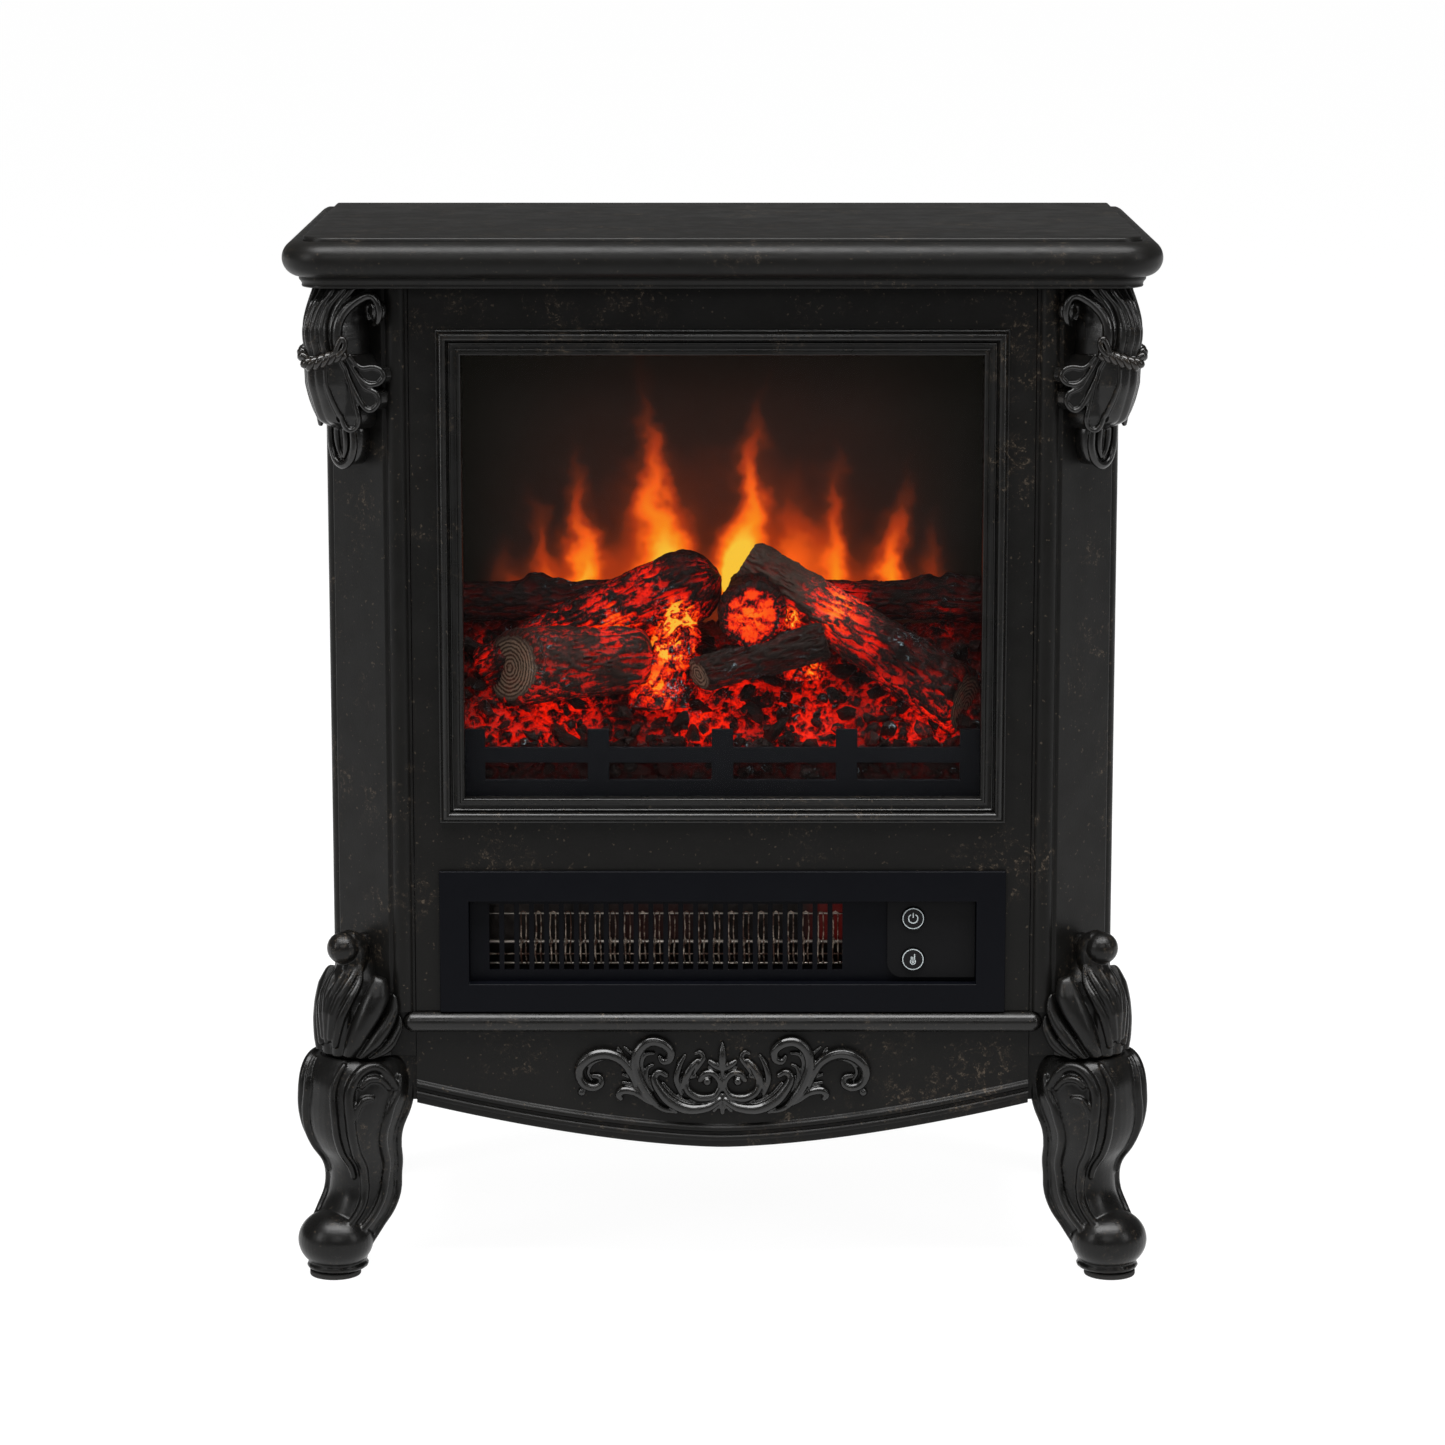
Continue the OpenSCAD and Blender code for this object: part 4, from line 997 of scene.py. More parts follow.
def make_rope():
    """Twisted band round the corbel's waist, with a loop at its inner end."""
    _, half, deep = blend_keys(CORBEL_NECK, 543)
    arc = [math.radians(192 + 134 * k / 900) for k in range(901)]
    travelled = [0.0]
    spots = [(half * math.cos(a), deep * math.sin(a)) for a in arc]
    for here, there in zip(spots, spots[1:]):
        travelled.append(travelled[-1] + math.dist(here, there))
    shape = Shape()
    for phase in (0.0, math.pi):
        path = []
        for a, run in zip(arc[::3], travelled[::3]):
            twist = phase + 2 * math.pi * run / 7.6
            reach = 1.1 + 1.6 * math.cos(twist)
            u = (half + reach) * math.cos(a)
            path.append((u, (deep + reach) * math.sin(a), rope_height(u) + 1.8 * math.sin(twist), 2.2))
        shape.add(tube(path, 10))
    loop = [
        (13.8, -27.4, 544.8, 1.8), (15.2, -26.6, 549.6, 1.8), (16.6, -25.0, 552.6, 1.8),
        (17.6, -23.6, 550.8, 1.8), (17.2, -24.2, 547.0, 1.8), (15.0, -26.6, 543.6, 1.8),
    ]
    shape.add(tube(curve(loop, 8), 12))
    return shape


def make_corbels():
    corner_pair(make_corbel_neck(), "corbel_neck", "casting", "corbel", 0.42, 1)
    corner_pair(make_corbel_fan(), "corbel_fan", "casting", None, 0.42, 2)
    corner_pair(make_rope(), "corbel_rope", "casting", None)


# Height, half width and depth of the leaf's core and of the surface that its blades lie on
LEAF_BODY = [
    (131.2, 24, 28), (140, 24, 29.5), (150, 22, 29.5), (158, 20.5, 29.5), (168, 17, 27.5), (176, 13, 23),
    (186, 9, 15), (196, 8, 10), (204, 4, 6),
]
LEAF_EDGE = [
    (131.2, 27.5, 26), (140, 28.6, 26.6), (150, 28.8, 26.4), (160, 28.2, 25.6), (170, 26.8, 24.4),
    (178, 24.8, 22.6), (186, 21, 19), (204, 14, 12),
]


def blade(keys, left, right, puff, steps=9, across=20):
    """Plump leaf on an oval body between two edges given as (degrees, height)."""
    left, right = curve(left, steps), curve(right, steps)
    total = len(left) - 1
    rows = []
    for k, (a, b) in enumerate(zip(left, right)):
        ease = math.sqrt(min((total - k) / total * 3.2, 1.0))
        row = []
        for i in range(across + 1):
            t = i / across
            spot = a[0] + (b[0] - a[0]) * t, a[1] + (b[1] - a[1]) * t
            lift = puff * (math.sin(math.pi * t) ** 0.7) * ease - 0.7
            row.append(oval_point(keys, *spot, lift))
        row.append(oval_point(keys, *b, -5.0))
        row.append(oval_point(keys, *a, -5.0))
        rows.append(row)
    return loft(rows)


def other_flank(line):
    """Line of (degrees, ...) points mirrored to the other side of a corner piece."""
    return [(540 - degrees, *rest) for degrees, *rest in line]


def oval_point(keys, degrees, z, lift):
    """Point on a half-oval body at an angle and a height, raised by lift."""
    _, half, deep = blend_keys(keys, z)
    a = math.radians(degrees)
    return (half + lift) * math.cos(a), (deep + lift) * math.sin(a), z


def make_leaves():
    """Acanthus leaf over the top of each front leg, with its tip curled into a ball."""
    core = half_oval(LEAF_BODY, 0.5, 2.0)
    shape = Shape().add(ribbed_body(LEAF_BODY, 131.4, 201, 0, 2.0, 40, 28))
    shape.add(ellipsoid((0, -16.6, 195.0), (9.6, 9.4, 9.4)))
    tip = [(0, -15, 174, 8.6), (0, -9.5, 186, 8.8), (0, -8.4, 193, 8.8), (0, -11.6, 196.4, 8.6)]
    shape.add(tube(curve(tip, 5), 18))
    stems = [
        [(2.6, 190, 1.8), (3.0, 178, 2.4), (1.6, 166, 2.7), (0.2, 154, 2.6), (0.0, 142, 2.2)],
        [(5.0, 190, 1.8), (7.4, 181, 2.4), (7.4, 171, 2.9), (4.6, 158, 2.8), (2.8, 144, 2.4)],
        [(7.4, 185, 1.6), (10.6, 176, 2.2), (11.4, 167, 2.7), (8.8, 154, 2.8), (6.0, 140, 2.3)],
    ]
    for points in (p for line in stems for p in both_ways(line)):
        shape.add(stroke(points, core, 0.25))
    blades = [
        ([(286, 134), (296, 150), (308, 164), (321, 174), (332, 180.4)],
         [(306, 133), (322, 147), (339, 159), (351, 169), (350, 178.6)], 4.2),
        ([(304, 133), (324, 146), (343, 157), (353, 165), (357, 169.4)],
         [(318, 132.4), (340, 142), (354, 151.4), (362, 160), (362, 167.6)], 3.4),
        ([(318, 132.6), (341, 141), (354, 148), (361, 153), (364, 156.4)],
         [(330, 132), (351, 135.6), (361, 141.6), (367, 148), (367, 154.6)], 2.8),
        ([(268, 132.6), (270, 142), (276, 151), (282, 158), (288, 163)],
         [(290, 132.6), (293, 142), (295, 151), (296, 158), (294, 163)], 3.0),
    ]
    for left, right, puff in blades:
        shape.add(blade(LEAF_EDGE, left, right, puff))
        shape.add(blade(LEAF_EDGE, other_flank(left), other_flank(right), puff))
    corner_pair(shape, "leaf_casting", "leg", "leaf", 0.5, 3)


# Left half of the apron's spray: (x, height above the floor, radius)
SPRAY = [
    [(-50.6, 114, 1.6), (-52.4, 119.6, 1.9), (-57.9, 128.4, 2.3), (-66.5, 132.9, 2.5), (-75.1, 132.2, 2.6),
     (-82.0, 127.2, 2.5), (-84.0, 120.9, 2.2), (-81.3, 114.9, 2.1), (-75.8, 112.6, 2.0),
     (-71.2, 114.6, 1.7),
     (-71.6, 118.6, 1.5), (-75.6, 119.4, 1.3)],
    [(-57.5, 124.4, 0.9), (-63, 129, 1.0), (-70, 129.6, 1.0), (-76.4, 126.6, 1.0), (-78.6, 121.4, 0.9),
     (-76.6, 117, 0.8)],
    [(-51.8, 118.3, 1.4), (-55.5, 125.9, 1.3), (-58.6, 132, 1.0), (-61, 136, 0.8)],
    [(-51.2, 125, 1.0), (-53, 132.2, 1.0), (-57.4, 136.4, 0.7)],
    [(-38.0, 101.4, 1.4), (-42.4, 106.8, 2.0), (-47.6, 115.2, 2.3), (-51.0, 126.4, 2.3), (-48.9, 135.2, 2.4),
     (-42.4, 140.2, 2.4), (-35.2, 139.2, 2.3), (-30.4, 134.6, 2.1), (-30.9, 129.6, 1.9),
     (-34.6, 128.0, 1.6),
     (-36.6, 130.6, 1.2)],
    [(-44.0, 111, 1.1), (-46.6, 119.3, 1.3), (-47.6, 127.2, 1.3), (-45.2, 132.2, 1.2), (-40.4, 133.0, 0.9)],
    [(-41.4, 109.4, 1.1), (-44.4, 118.0, 1.3), (-43.9, 123.8, 1.1), (-40.8, 125.9, 0.9)],
    [(-2.0, 104.6, 1.6), (-8.9, 100.6, 2.1), (-20.5, 99.9, 2.5), (-31, 104.9, 2.6), (-38.0, 113.3, 2.2),
     (-39.9, 118.9, 1.8), (-37.0, 121.6, 1.6), (-33.2, 119.8, 1.4)],
    [(-4.0, 107.2, 0.9), (-10.9, 104.4, 1.1), (-20.9, 104.0, 1.2), (-29, 108.2, 1.1), (-34.7, 114.8, 0.9)],
    [(-46.2, 111.3, 1.1), (-51.1, 116.6, 1.1), (-58, 120.2, 0.9)],
    [(-44.4, 108.5, 1.1), (-51.0, 113.3, 1.2), (-58, 115.4, 0.9)],
    [(-36.4, 101.2, 1.2), (-43.4, 104.4, 1.5), (-50.6, 109.3, 1.7), (-57.4, 110.9, 1.9), (-60.9, 108.4, 1.7),
     (-59.6, 105.9, 1.3)],
    [(-27.0, 97.8, 1.1), (-35.0, 99.6, 1.4), (-42.4, 104.8, 1.4), (-48.2, 111.2, 1.0)],
    [(-1.6, 112.4, 1.3), (-3.6, 108.6, 1.5), (-7.0, 106.6, 1.8), (-13.6, 106.3, 2.0), (-19.6, 109.7, 1.9),
     (-21.4, 114.7, 1.7), (-19.7, 118.6, 1.5), (-16.4, 119.4, 1.2)],
    [(-1.4, 111.0, 1.2), (-1.9, 116.8, 1.5), (-5.8, 121.0, 1.6), (-10.7, 120.6, 1.5), (-13.2, 117.0, 1.3)],
    [(-24.2, 108.4, 1.1), (-26.9, 117.2, 1.6), (-25.0, 125.5, 1.4), (-22.0, 131.4, 0.9)],
    [(-24.6, 122.0, 0.9), (-26.0, 126.6, 0.9), (-24.0, 130.0, 0.7)],
    [(-23.0, 112.6, 1.4), (-21.1, 119.0, 2.0), (-18.2, 124.6, 1.9), (-14.6, 128.6, 1.2)],
    [(-16.6, 121.6, 1.1), (-13.4, 126.6, 1.4), (-11.1, 130.6, 1.3), (-13.1, 133.7, 1.1), (-15.6, 132.7, 0.9)],
    [(-1.4, 124.0, 1.4), (-4.6, 126.0, 1.6), (-7.4, 128.0, 1.3)],
    [(-5.0, 123.4, 0.9), (-7.8, 124.6, 0.9)],
    [(-1.4, 106.0, 1.0), (-3.2, 101.2, 1.2), (-5.0, 98.4, 1.0)],
]
LILY = [
    [(0, 139.0, 0.8), (0, 134.8, 1.7), (0, 129.6, 2.0), (0, 124.4, 1.6)],
    [(0, 123.6, 1.3), (0, 119.0, 1.1), (0, 112.0, 1.2)],
    [(0, 107.4, 1.1), (0, 101.6, 1.4), (0, 97.4, 1.2)],
]


SPRAY_BOLD = 1.36


def widened(line):
    return [(x, z, r * SPRAY_BOLD) for x, z, r in line]


def make_spray():
    """Carved spray on the apron: paired scrolls and leaves about a lily."""
    def flat(u, z):
        return -FRONT_Y

    shape = Shape()
    for line in SPRAY:
        for points in both_ways(widened(line)):
            shape.add(stroke(points, flat, 0.75, 6))
    for line in LILY:
        shape.add(stroke(widened(line), flat, 0.75, 6))
    for side in (-1, 1):
        shape.add(ellipsoid((side * 82.4, FRONT_Y, 109.4), (2.7, 2.7, 2.7)))
        shape.add(ellipsoid((side * 9.0, FRONT_Y - 1.4, 116.4), (3.0, 3.8, 3.0)))
        shape.add(ellipsoid((side * 73.4, FRONT_Y, 117.6), (1.9, 2.2, 1.9)))
    piece = shape.object("apron_spray")
    fuse(piece, 0.45, 1)
    place(piece, "casting", "antique_casting", "apron_ornament", angle=75)


# Legs -------------------------------------------------------------------------------------------

# Height, outward offset of the section, half width across, half depth
FRONT_LEG = [
    (3, 24, 15, 15), (8, 24, 17, 18), (18, 21, 17.5, 19), (28, 16, 18.5, 22), (37, 9, 20, 22.5),
    (47, 3.5, 20, 22), (58, 2, 20, 22), (67, 3, 22, 23), (77, 7, 24.4, 26), (87, 9, 27.4, 28.2),
    (98, 8, 30.4, 30.4), (108, 7, 31.4, 30.8), (117, 6, 31, 30.8), (124, 5, 29.6, 29.4),
    (128.5, 4, 27, 27.6), (131, 3, 24, 26),
]
LEG_SQUARE = 2.3
REAR_SQUARE = 2.8
LEG_TOP = 131.0
LEG_FOOT = 3.05
# Height, distance from the middle, half width, half depth
REAR_LEG = [
    (3, 226, 15, 16), (10, 226, 18, 20), (20, 225, 19, 21), (33, 222, 17, 17), (50, 219, 16, 15),
    (68, 217, 18, 17), (88, 214, 23, 22), (100, 212, 25, 24), (110, 205, 18.5, 23), (131, 203, 18.5, 23),
]


def round_square(half_u, half_v, angle, power):
    """Point of a rounded-square ring."""
    c, s = math.cos(angle), math.sin(angle)
    return (
        math.copysign(half_u * abs(c) ** (2 / power), c),
        math.copysign(half_v * abs(s) ** (2 / power), s),
    )


def smooth_keys(keys):
    """Table of keys with rounded steps between its rows."""
    return sorted(curve(keys, 6))


def leg_point(keys, degrees, z, lift):
    """Point on the front leg's skin at an angle and a height, raised by lift."""
    _, out, half_u, half_v = blend_keys(keys, z)
    u, v = round_square(half_u + lift, half_v + lift, math.radians(degrees), LEG_SQUARE)
    return u, v - out, z


def leg_stroke(keys, points):
    """Bar along (degrees, height, radius) points, sunk a little over half into the leg."""
    path = []
    for degrees, z, radius in curve(points, 8):
        path.append((*leg_point(keys, degrees, z, -0.12 * radius), radius))
    return tube(path, 12)


def make_front_legs():
    """Cabriole leg with a scroll carved on each flank and a rolled foot."""
    keys = smooth_keys(FRONT_LEG)
    shape = Shape()
    rings = []
    for z, out, half_u, half_v in keys:
        ring = [round_square(half_u - 1.3, half_v - 1.3, a, LEG_SQUARE) for a in turns(48)]
        rings.append([(u, v - out, z) for u, v in ring])
    shape.add(loft(rings))
    flank = [
        [(362, 115, 2.0), (356, 122, 2.6), (345, 127, 2.9), (332, 128, 3.0), (319, 125, 3.0), (311, 118, 3.0),
         (309, 109, 3.0), (313, 97, 2.9), (318, 83, 2.8), (319, 67, 2.6), (323, 53, 2.4), (324, 41, 2.2),
         (318, 31, 1.8)],
        [(356, 115, 1.4), (346, 120.5, 1.8), (332, 121.5, 1.9), (323, 118, 1.4)],
        [(319, 100, 1.2), (321, 106, 1.8), (327, 110, 1.8), (337, 110.5, 1.3)],
        [(368, 121, 1.4), (366, 114, 2.4), (359, 104, 2.8), (357, 90, 2.9), (359, 72, 2.7), (356, 50, 2.5),
         (352, 36, 2.4), (346, 25, 2.2), (336, 17, 1.8)],
        [(297, 129, 1.4), (291, 121, 2.0), (289, 110, 2.2), (293, 97, 2.2), (296, 84, 2.2), (297, 72, 2.0),
         (302, 60, 1.6)],
        [(390, 127, 1.6), (393, 117, 2.2), (392, 105, 2.2), (384, 92, 2.0), (384, 76, 2.0), (386, 58, 2.0),
         (390, 42, 2.0), (388, 26, 1.8), (372, 15, 1.6)],
    ]
    for line in flank:
        bold = [(degrees, z, r * 1.05) for degrees, z, r in line]
        shape.add(leg_stroke(keys, bold))
        shape.add(leg_stroke(keys, other_flank(bold)))
    shape.add(ellipsoid((0, -25.4, 21.0), (22.8, 21.6, 18.0), 24, 44))
    for side in (-1, 1):
        shape.add(ellipsoid((side * 13.4, -36.0, 19.5), (5.4, 5.4, 6.4)))
    shape.add(ellipsoid((0, -24, 6.0), (18.0, 18.6, 4.4)))
    shape.points = [(u, v, min(max(z, LEG_FOOT), LEG_TOP)) for u, v, z in shape.points]
    corner_pair(shape, "leg_front_casting", "leg", "leg_front", 0.7, 3)


def make_rear_legs():
    """Plainer bracket leg with its back in one plane and two ridges at each front corner."""
    keys = smooth_keys(REAR_LEG)
    back_y = node_box("leg_rear_left")[1].y
    rings = []
    for z, from_middle, half_u, half_v in keys:
        ring = [round_square(half_u - 0.5, half_v - 0.5, a, REAR_SQUARE) for a in turns(48)]
        rings.append([(-from_middle + u, back_y - half_v - 0.5 + v, z) for u, v in ring])
    shape = Shape().add(loft(rings))
    for degrees in (205, 232, 308, 335):
        path = []
        for z, from_middle, half_u, half_v in keys[6:-6]:
            u, v = round_square(half_u, half_v, math.radians(degrees), REAR_SQUARE)
            path.append((-from_middle + u * 0.97, back_y - half_v - 0.5 + v * 0.97, z, 1.5))
        shape.add(tube(path, 8))
    left = shape.object("leg_rear_casting_left")
    fuse(left, 0.8, 3)
    right = mirrored(left, "leg_rear_casting_right")
    for piece, node in ((left, "leg_rear_left"), (right, "leg_rear_right")):
        place(piece, "leg", "antique_casting", node, angle=75)


# Logs and embers ------------------------------------------------------------------------------

# Places that the light from below reaches most: x, y, z, radius, strength
HOT_SPOTS = [
    (-26, -70, 384, 13, 1.10), (-30, -70, 366, 15, 0.98), (38, -72, 384, 8, 1.05),
    (-36, -78, 346, 17, 0.80), (52, -80, 352, 14, 0.78), (10, -90, 342, 24, 0.62),
    (-62, -66, 380, 22, 0.66), (-98, -62, 374, 18, 0.50), (68, -66, 390, 18, 0.74),
    (84, -70, 372, 12, 0.55), (-10, -88, 328, 34, 0.60), (-95, -88, 330, 32, 0.56),
    (50, -88, 326, 34, 0.58), (115, -86, 320, 28, 0.52), (20, -90, 384, 15, 0.72),
    (-140, -60, 362, 14, 0.34), (128, -60, 380, 16, 0.34), (-44, -60, 404, 14, 0.52),
    (-12, -56, 408, 12, 0.36), (-80, -96, 350, 12, 0.44), (-126, -90, 322, 26, 0.46),
    (92, -86, 340, 16, 0.50),
]


def heat_at(spot):
    """How strongly the light inside reaches a point."""
    best = 0.12
    for x, y, z, radius, strength in HOT_SPOTS:
        gap = math.sqrt((spot[0] - x) ** 2 + ((spot[1] - y) * 0.5) ** 2 + (spot[2] - z) ** 2)
        best = max(best, strength * math.exp(-((gap / radius) ** 2) * 0.7))
    return best * min(1.0, 0.25 + 0.75 * min(max((spot[2] - 306) / 9, 0.0), 1.0))


def bark(spot, along, seed):
    """Height of the bark from 0 in a crack to 1, stretched along the log."""
    across = spot - along * spot.dot(along)
    stretched = across * 0.32 + along * spot.dot(along) * 0.075 + Vector((seed, seed * 1.7, 0))
    low = noise.noise(stretched)
    fine = noise.noise(stretched * 2.6 + Vector((9, 0, 3)))
    ridges = 1 - abs(low * 1.3 + fine * 0.5)
    lumps = noise.noise(spot * 0.11 + Vector((seed, 4, 1)))
    return min(max(ridges + lumps * 0.3, 0.0), 1.15)


LOG_SIDES = 110


class Skin:
    """Points and faces of a log or a heap of embers, with the numbers that its look reads."""

    def __init__(self):
        self.points = []
        self.faces = []
        self.values = {"groove": [], "glow": [], "end": [], "ring": [], "tint": []}

    def add(self, point, **numbers):
        self.points.append(point)
        for name, store in self.values.items():
            store.append(numbers.get(name, 0.0))

    def object(self, name):
        piece = Shape().add((self.points, self.faces)).object(name)
        for value, numbers in self.values.items():
            store = piece.data.attributes.new(value, "FLOAT", "POINT")
            store.data.foreach_set("value", numbers)
        return piece


def clamped(value, low=0.0, high=1.0):
    return min(max(value, low), high)


def knot_push(knots, t, degrees, length, radius):
    """How far the knots lift the bark: each is a swelling with a dimple."""
    push = 0.0
    for at, around, size, high in knots:
        turn = (degrees - around + 180) % 360 - 180
        gap = math.hypot((t - at) * length, math.radians(turn) * radius) / size
        push += high * math.exp(-gap * gap) - 0.45 * high * math.exp(-((gap / 0.42) ** 2))
    return push


def cut_off(spot, centre, along, cut, near):
    """Point moved along the log, so that its end lies on a slanted cut."""
    if not cut:
        return spot
    normal = Vector(cut).normalized()
    return spot - along * ((spot - centre).dot(normal) / along.dot(normal)) * near ** 4


def close_log(skin, first, is_start, along, seed, warm, end_heat):
    """Cut face with growth rings and splits, in rings of points from the rim to the middle."""
    rim = skin.points[first:first + LOG_SIDES]
    middle = sum(rim, Vector()) / LOG_SIDES
    lit = 0.72 if end_heat else 0.42
    previous = list(range(first, first + LOG_SIDES))
    for share in (0.96, 0.9, 0.8, 0.7, 0.6, 0.5, 0.4, 0.3, 0.2, 0.1):
        here = []
        inside = share < 0.86
        for i, a in enumerate(turns(LOG_SIDES)):
            spot = middle + (rim[i] - middle) * share
            rough_cut = noise.noise(spot * 0.5) * 0.5
            rough_cut -= noise.noise(Vector((share * 9, i * 0.05, seed))) * 0.35
            spoke = noise.noise(Vector((math.cos(a) * 2.4, math.sin(a) * 2.4, seed)))
            split = noise.noise(Vector((spot.x * 0.10, seed, spot.z * 0.42)))
            here.append(len(skin.points))
            skin.add(
                spot + along * rough_cut,
                groove=clamped(lit + spoke * 0.5 + split * 0.9) if inside else 0.1,
                glow=max(heat_at(spot) * warm * 0.35, end_heat * (1.15 - 0.25 * share)),
                end=1.0 if inside else 0.3,
                ring=(spot - middle).length * MM,
                tint=0.0 if end_heat else 1.0,
            )
        for i in range(LOG_SIDES):
            j = (i + 1) % LOG_SIDES
            quad = (previous[i], previous[j], here[j], here[i])
            skin.faces.append(quad[::-1] if is_start else quad)
        previous = here
    skin.faces.append(tuple(previous[::-1] if is_start else previous))


def make_log(start, finish, r0, r1, seed, rough=2.6, warm=1.0, tint=0.0, tint_end=None,
             cut_start=None, cut_finish=None, knots=(), bend=0.0, end_heat=0.0, dome=0.0):
    """Log with bark, cut ends that may slant, and knots as (along, degrees, size, height)."""
    start, finish = Vector(start), Vector(finish)
    length = (finish - start).length
    along = (finish - start).normalized()
    side = along.cross(Vector((0, 0, 1))).normalized()
    up = side.cross(along)
    rows = max(int(length / 0.9), 20)
    tint_end = tint if tint_end is None else tint_end
    skin = Skin()
    for k in range(rows + 1):
        t = k / rows
        centre = start + along * length * t + up * bend * math.sin(math.pi * t)
        radius = r0 + (r1 - r0) * t
        round_off = min(1.0, 0.86 + 0.14 * math.sqrt(min(t, 1 - t) * length / 3.0))
        if dome and t > 1 - dome:
            round_off *= math.sqrt(max(1 - ((t - 1 + dome) / dome) ** 2, 0.04))
        for a in turns(LOG_SIDES):
            out = side * math.cos(a) + up * math.sin(a)
            height = bark(centre + out * radius, along, seed)
            uneven = 0.10 * noise.noise(Vector((math.cos(a) * 1.3, math.sin(a) * 1.3, seed + t * 2)))
            push = radius * uneven + (height - 0.8) * rough
            push += knot_push(knots, t, math.degrees(a), length, radius)
            spot = centre + out * (radius + push) * round_off
            spot = cut_off(spot, centre, along, cut_start, 1 - t)
            spot = cut_off(spot, centre, along, cut_finish, t)
            skin.add(
                spot,
                groove=clamped((1.0 - height) * 1.5),
                glow=heat_at(spot) * warm,
                tint=tint + (tint_end - tint) * clamped((t - 0.35) * 4),
            )
    starts = [k * LOG_SIDES for k in range(rows + 1)]
    skin.faces = loft([skin.points[i:i + LOG_SIDES] for i in starts], caps=False)[1]
    close_log(skin, 0, True, along, seed, warm, end_heat)
    close_log(skin, starts[-1], False, along, seed, warm, end_heat)
    return skin


# Start, finish, start radius, end radius and seed of each log, then what sets it apart
LOGS = {
    "rear_left": ((-160, -45, 390), (-58, -46, 391), 11.5, 11.5, 3, {
        "warm": 0.7, "knots": [(0.50, 85, 7, 7.5), (0.62, 60, 5, 4)],
    }),
    "rear_right": ((160, -45, 390), (58, -46, 391), 11.5, 11.5, 8, {
        "warm": 0.7, "knots": [(0.24, 92, 6.5, 6.5), (0.40, 100, 6, 5), (0.12, 95, 5, 4)],
    }),
    "front_left": ((-124, -77, 356), (-40, -72, 362), 22, 19, 5, {
        "rough": 3.0, "warm": 0.9, "tint": 0.22, "cut_start": (-0.72, -0.68, 0.12),
        "knots": [(0.56, 12, 8.5, 3.0)], "dome": 0.12,
    }),
    "centre": ((17, -91, 389), (20, -48, 396), 19.5, 17, 12, {
        "rough": 2.4, "end_heat": 0.74, "cut_start": (0.05, -1.0, 0.1),
    }),
    "leaning_left": ((-142, -60, 350), (-2, -57, 408), 13, 22.5, 21, {
        "rough": 4.0, "warm": 1.3, "bend": 2.0, "dome": 0.16,
    }),
    "leaning_right": ((14, -58, 417), (142, -78, 333), 12, 21, 15, {
        "rough": 3.6, "warm": 1.3, "tint": 0.85, "tint_end": 0.0, "cut_start": (-0.8, 0.1, 0.5),
        "cut_finish": (0.85, -0.5, -0.15), "bend": 1.0, "knots": [(0.66, 40, 8.0, 6.5)],
    }),
    "low": ((-14, -89, 354), (60, -86, 374), 10.5, 11, 31, {
        "rough": 3.4, "warm": 0.35, "tint": 0.1, "cut_start": (-0.75, -0.5, -0.3),
    }),
}


def make_logs():
    """The seven logs of the stack, each on its CAD node."""
    for name, (start, finish, r0, r1, seed, extras) in LOGS.items():
        piece = make_log(start, finish, r0, r1, seed, **extras).object("log_resin_" + name)
        place(piece, "char", "log_resin", "log_" + name, angle=80)


# Profile of the ember bed as (y, z), from its front lip up to the flame screen
BED_LINE = [(-93, 268), (-93, 300), (-86, 318), (-70, 339), (-52, 358), (-46, 370), (-33.5, 377)]


def bed_point(x, share):
    """Point of the ember bed's slope, and the way out of it."""
    spans = [math.dist(a, b) for a, b in zip(BED_LINE, BED_LINE[1:])]
    left = share * sum(spans)
    for (a, b), span in zip(zip(BED_LINE, BED_LINE[1:]), spans):
        if left <= span:
            t = left / span
            way = Vector((0, -(b[1] - a[1]), b[0] - a[0])).normalized()
            return Vector((x, a[0] + (b[0] - a[0]) * t, a[1] + (b[1] - a[1]) * t)), way
        left -= span
    return Vector((x, *BED_LINE[-1])), Vector((0, -0.4, 0.9))


def coal_height(spot, size, seed):
    """Lumps with cracks between them: 0 in a crack, about 1 on a lump."""
    gaps, _ = noise.voronoi(spot / size + Vector((seed, seed, seed)))
    return min((gaps[1] - gaps[0]) * 1.9, 1.0)


def make_bed():
    """Slope of moulded coals with light in the cracks."""
    across, rows = 420, 150
    half = 167.5
    skin = Skin()
    for k in range(rows + 1):
        for i in range(across + 1):
            spot, way = bed_point(-half + 2 * half * i / across, k / rows)
            sway = Vector((noise.noise(spot * 0.15), noise.noise(spot * 0.15 + Vector((5, 5, 5))), 0))
            bent = spot + sway * 3.0
            big = coal_height(bent, 9.5, 2.0)
            small = coal_height(bent, 4.2, 7.0)
            mound = noise.noise(spot * 0.035 + Vector((3, 0, 0)))
            rise = big * 3.2 + small * 1.2 + mound * 3.0
            skin.add(
                spot + way * (rise - 2.2) * min(1.0, k / 22),
                groove=1 - min(1.0, big * 0.7 + small * 0.45),
                glow=heat_at(spot),
            )
    wide = across + 1
    for k in range(rows):
        for i in range(across):
            here = k * wide + i
            skin.faces.append((here, here + 1, here + wide + 1, here + wide))
    place(skin.object("ember_slope"), "ember", "ember_resin", "ember_bed", angle=80)


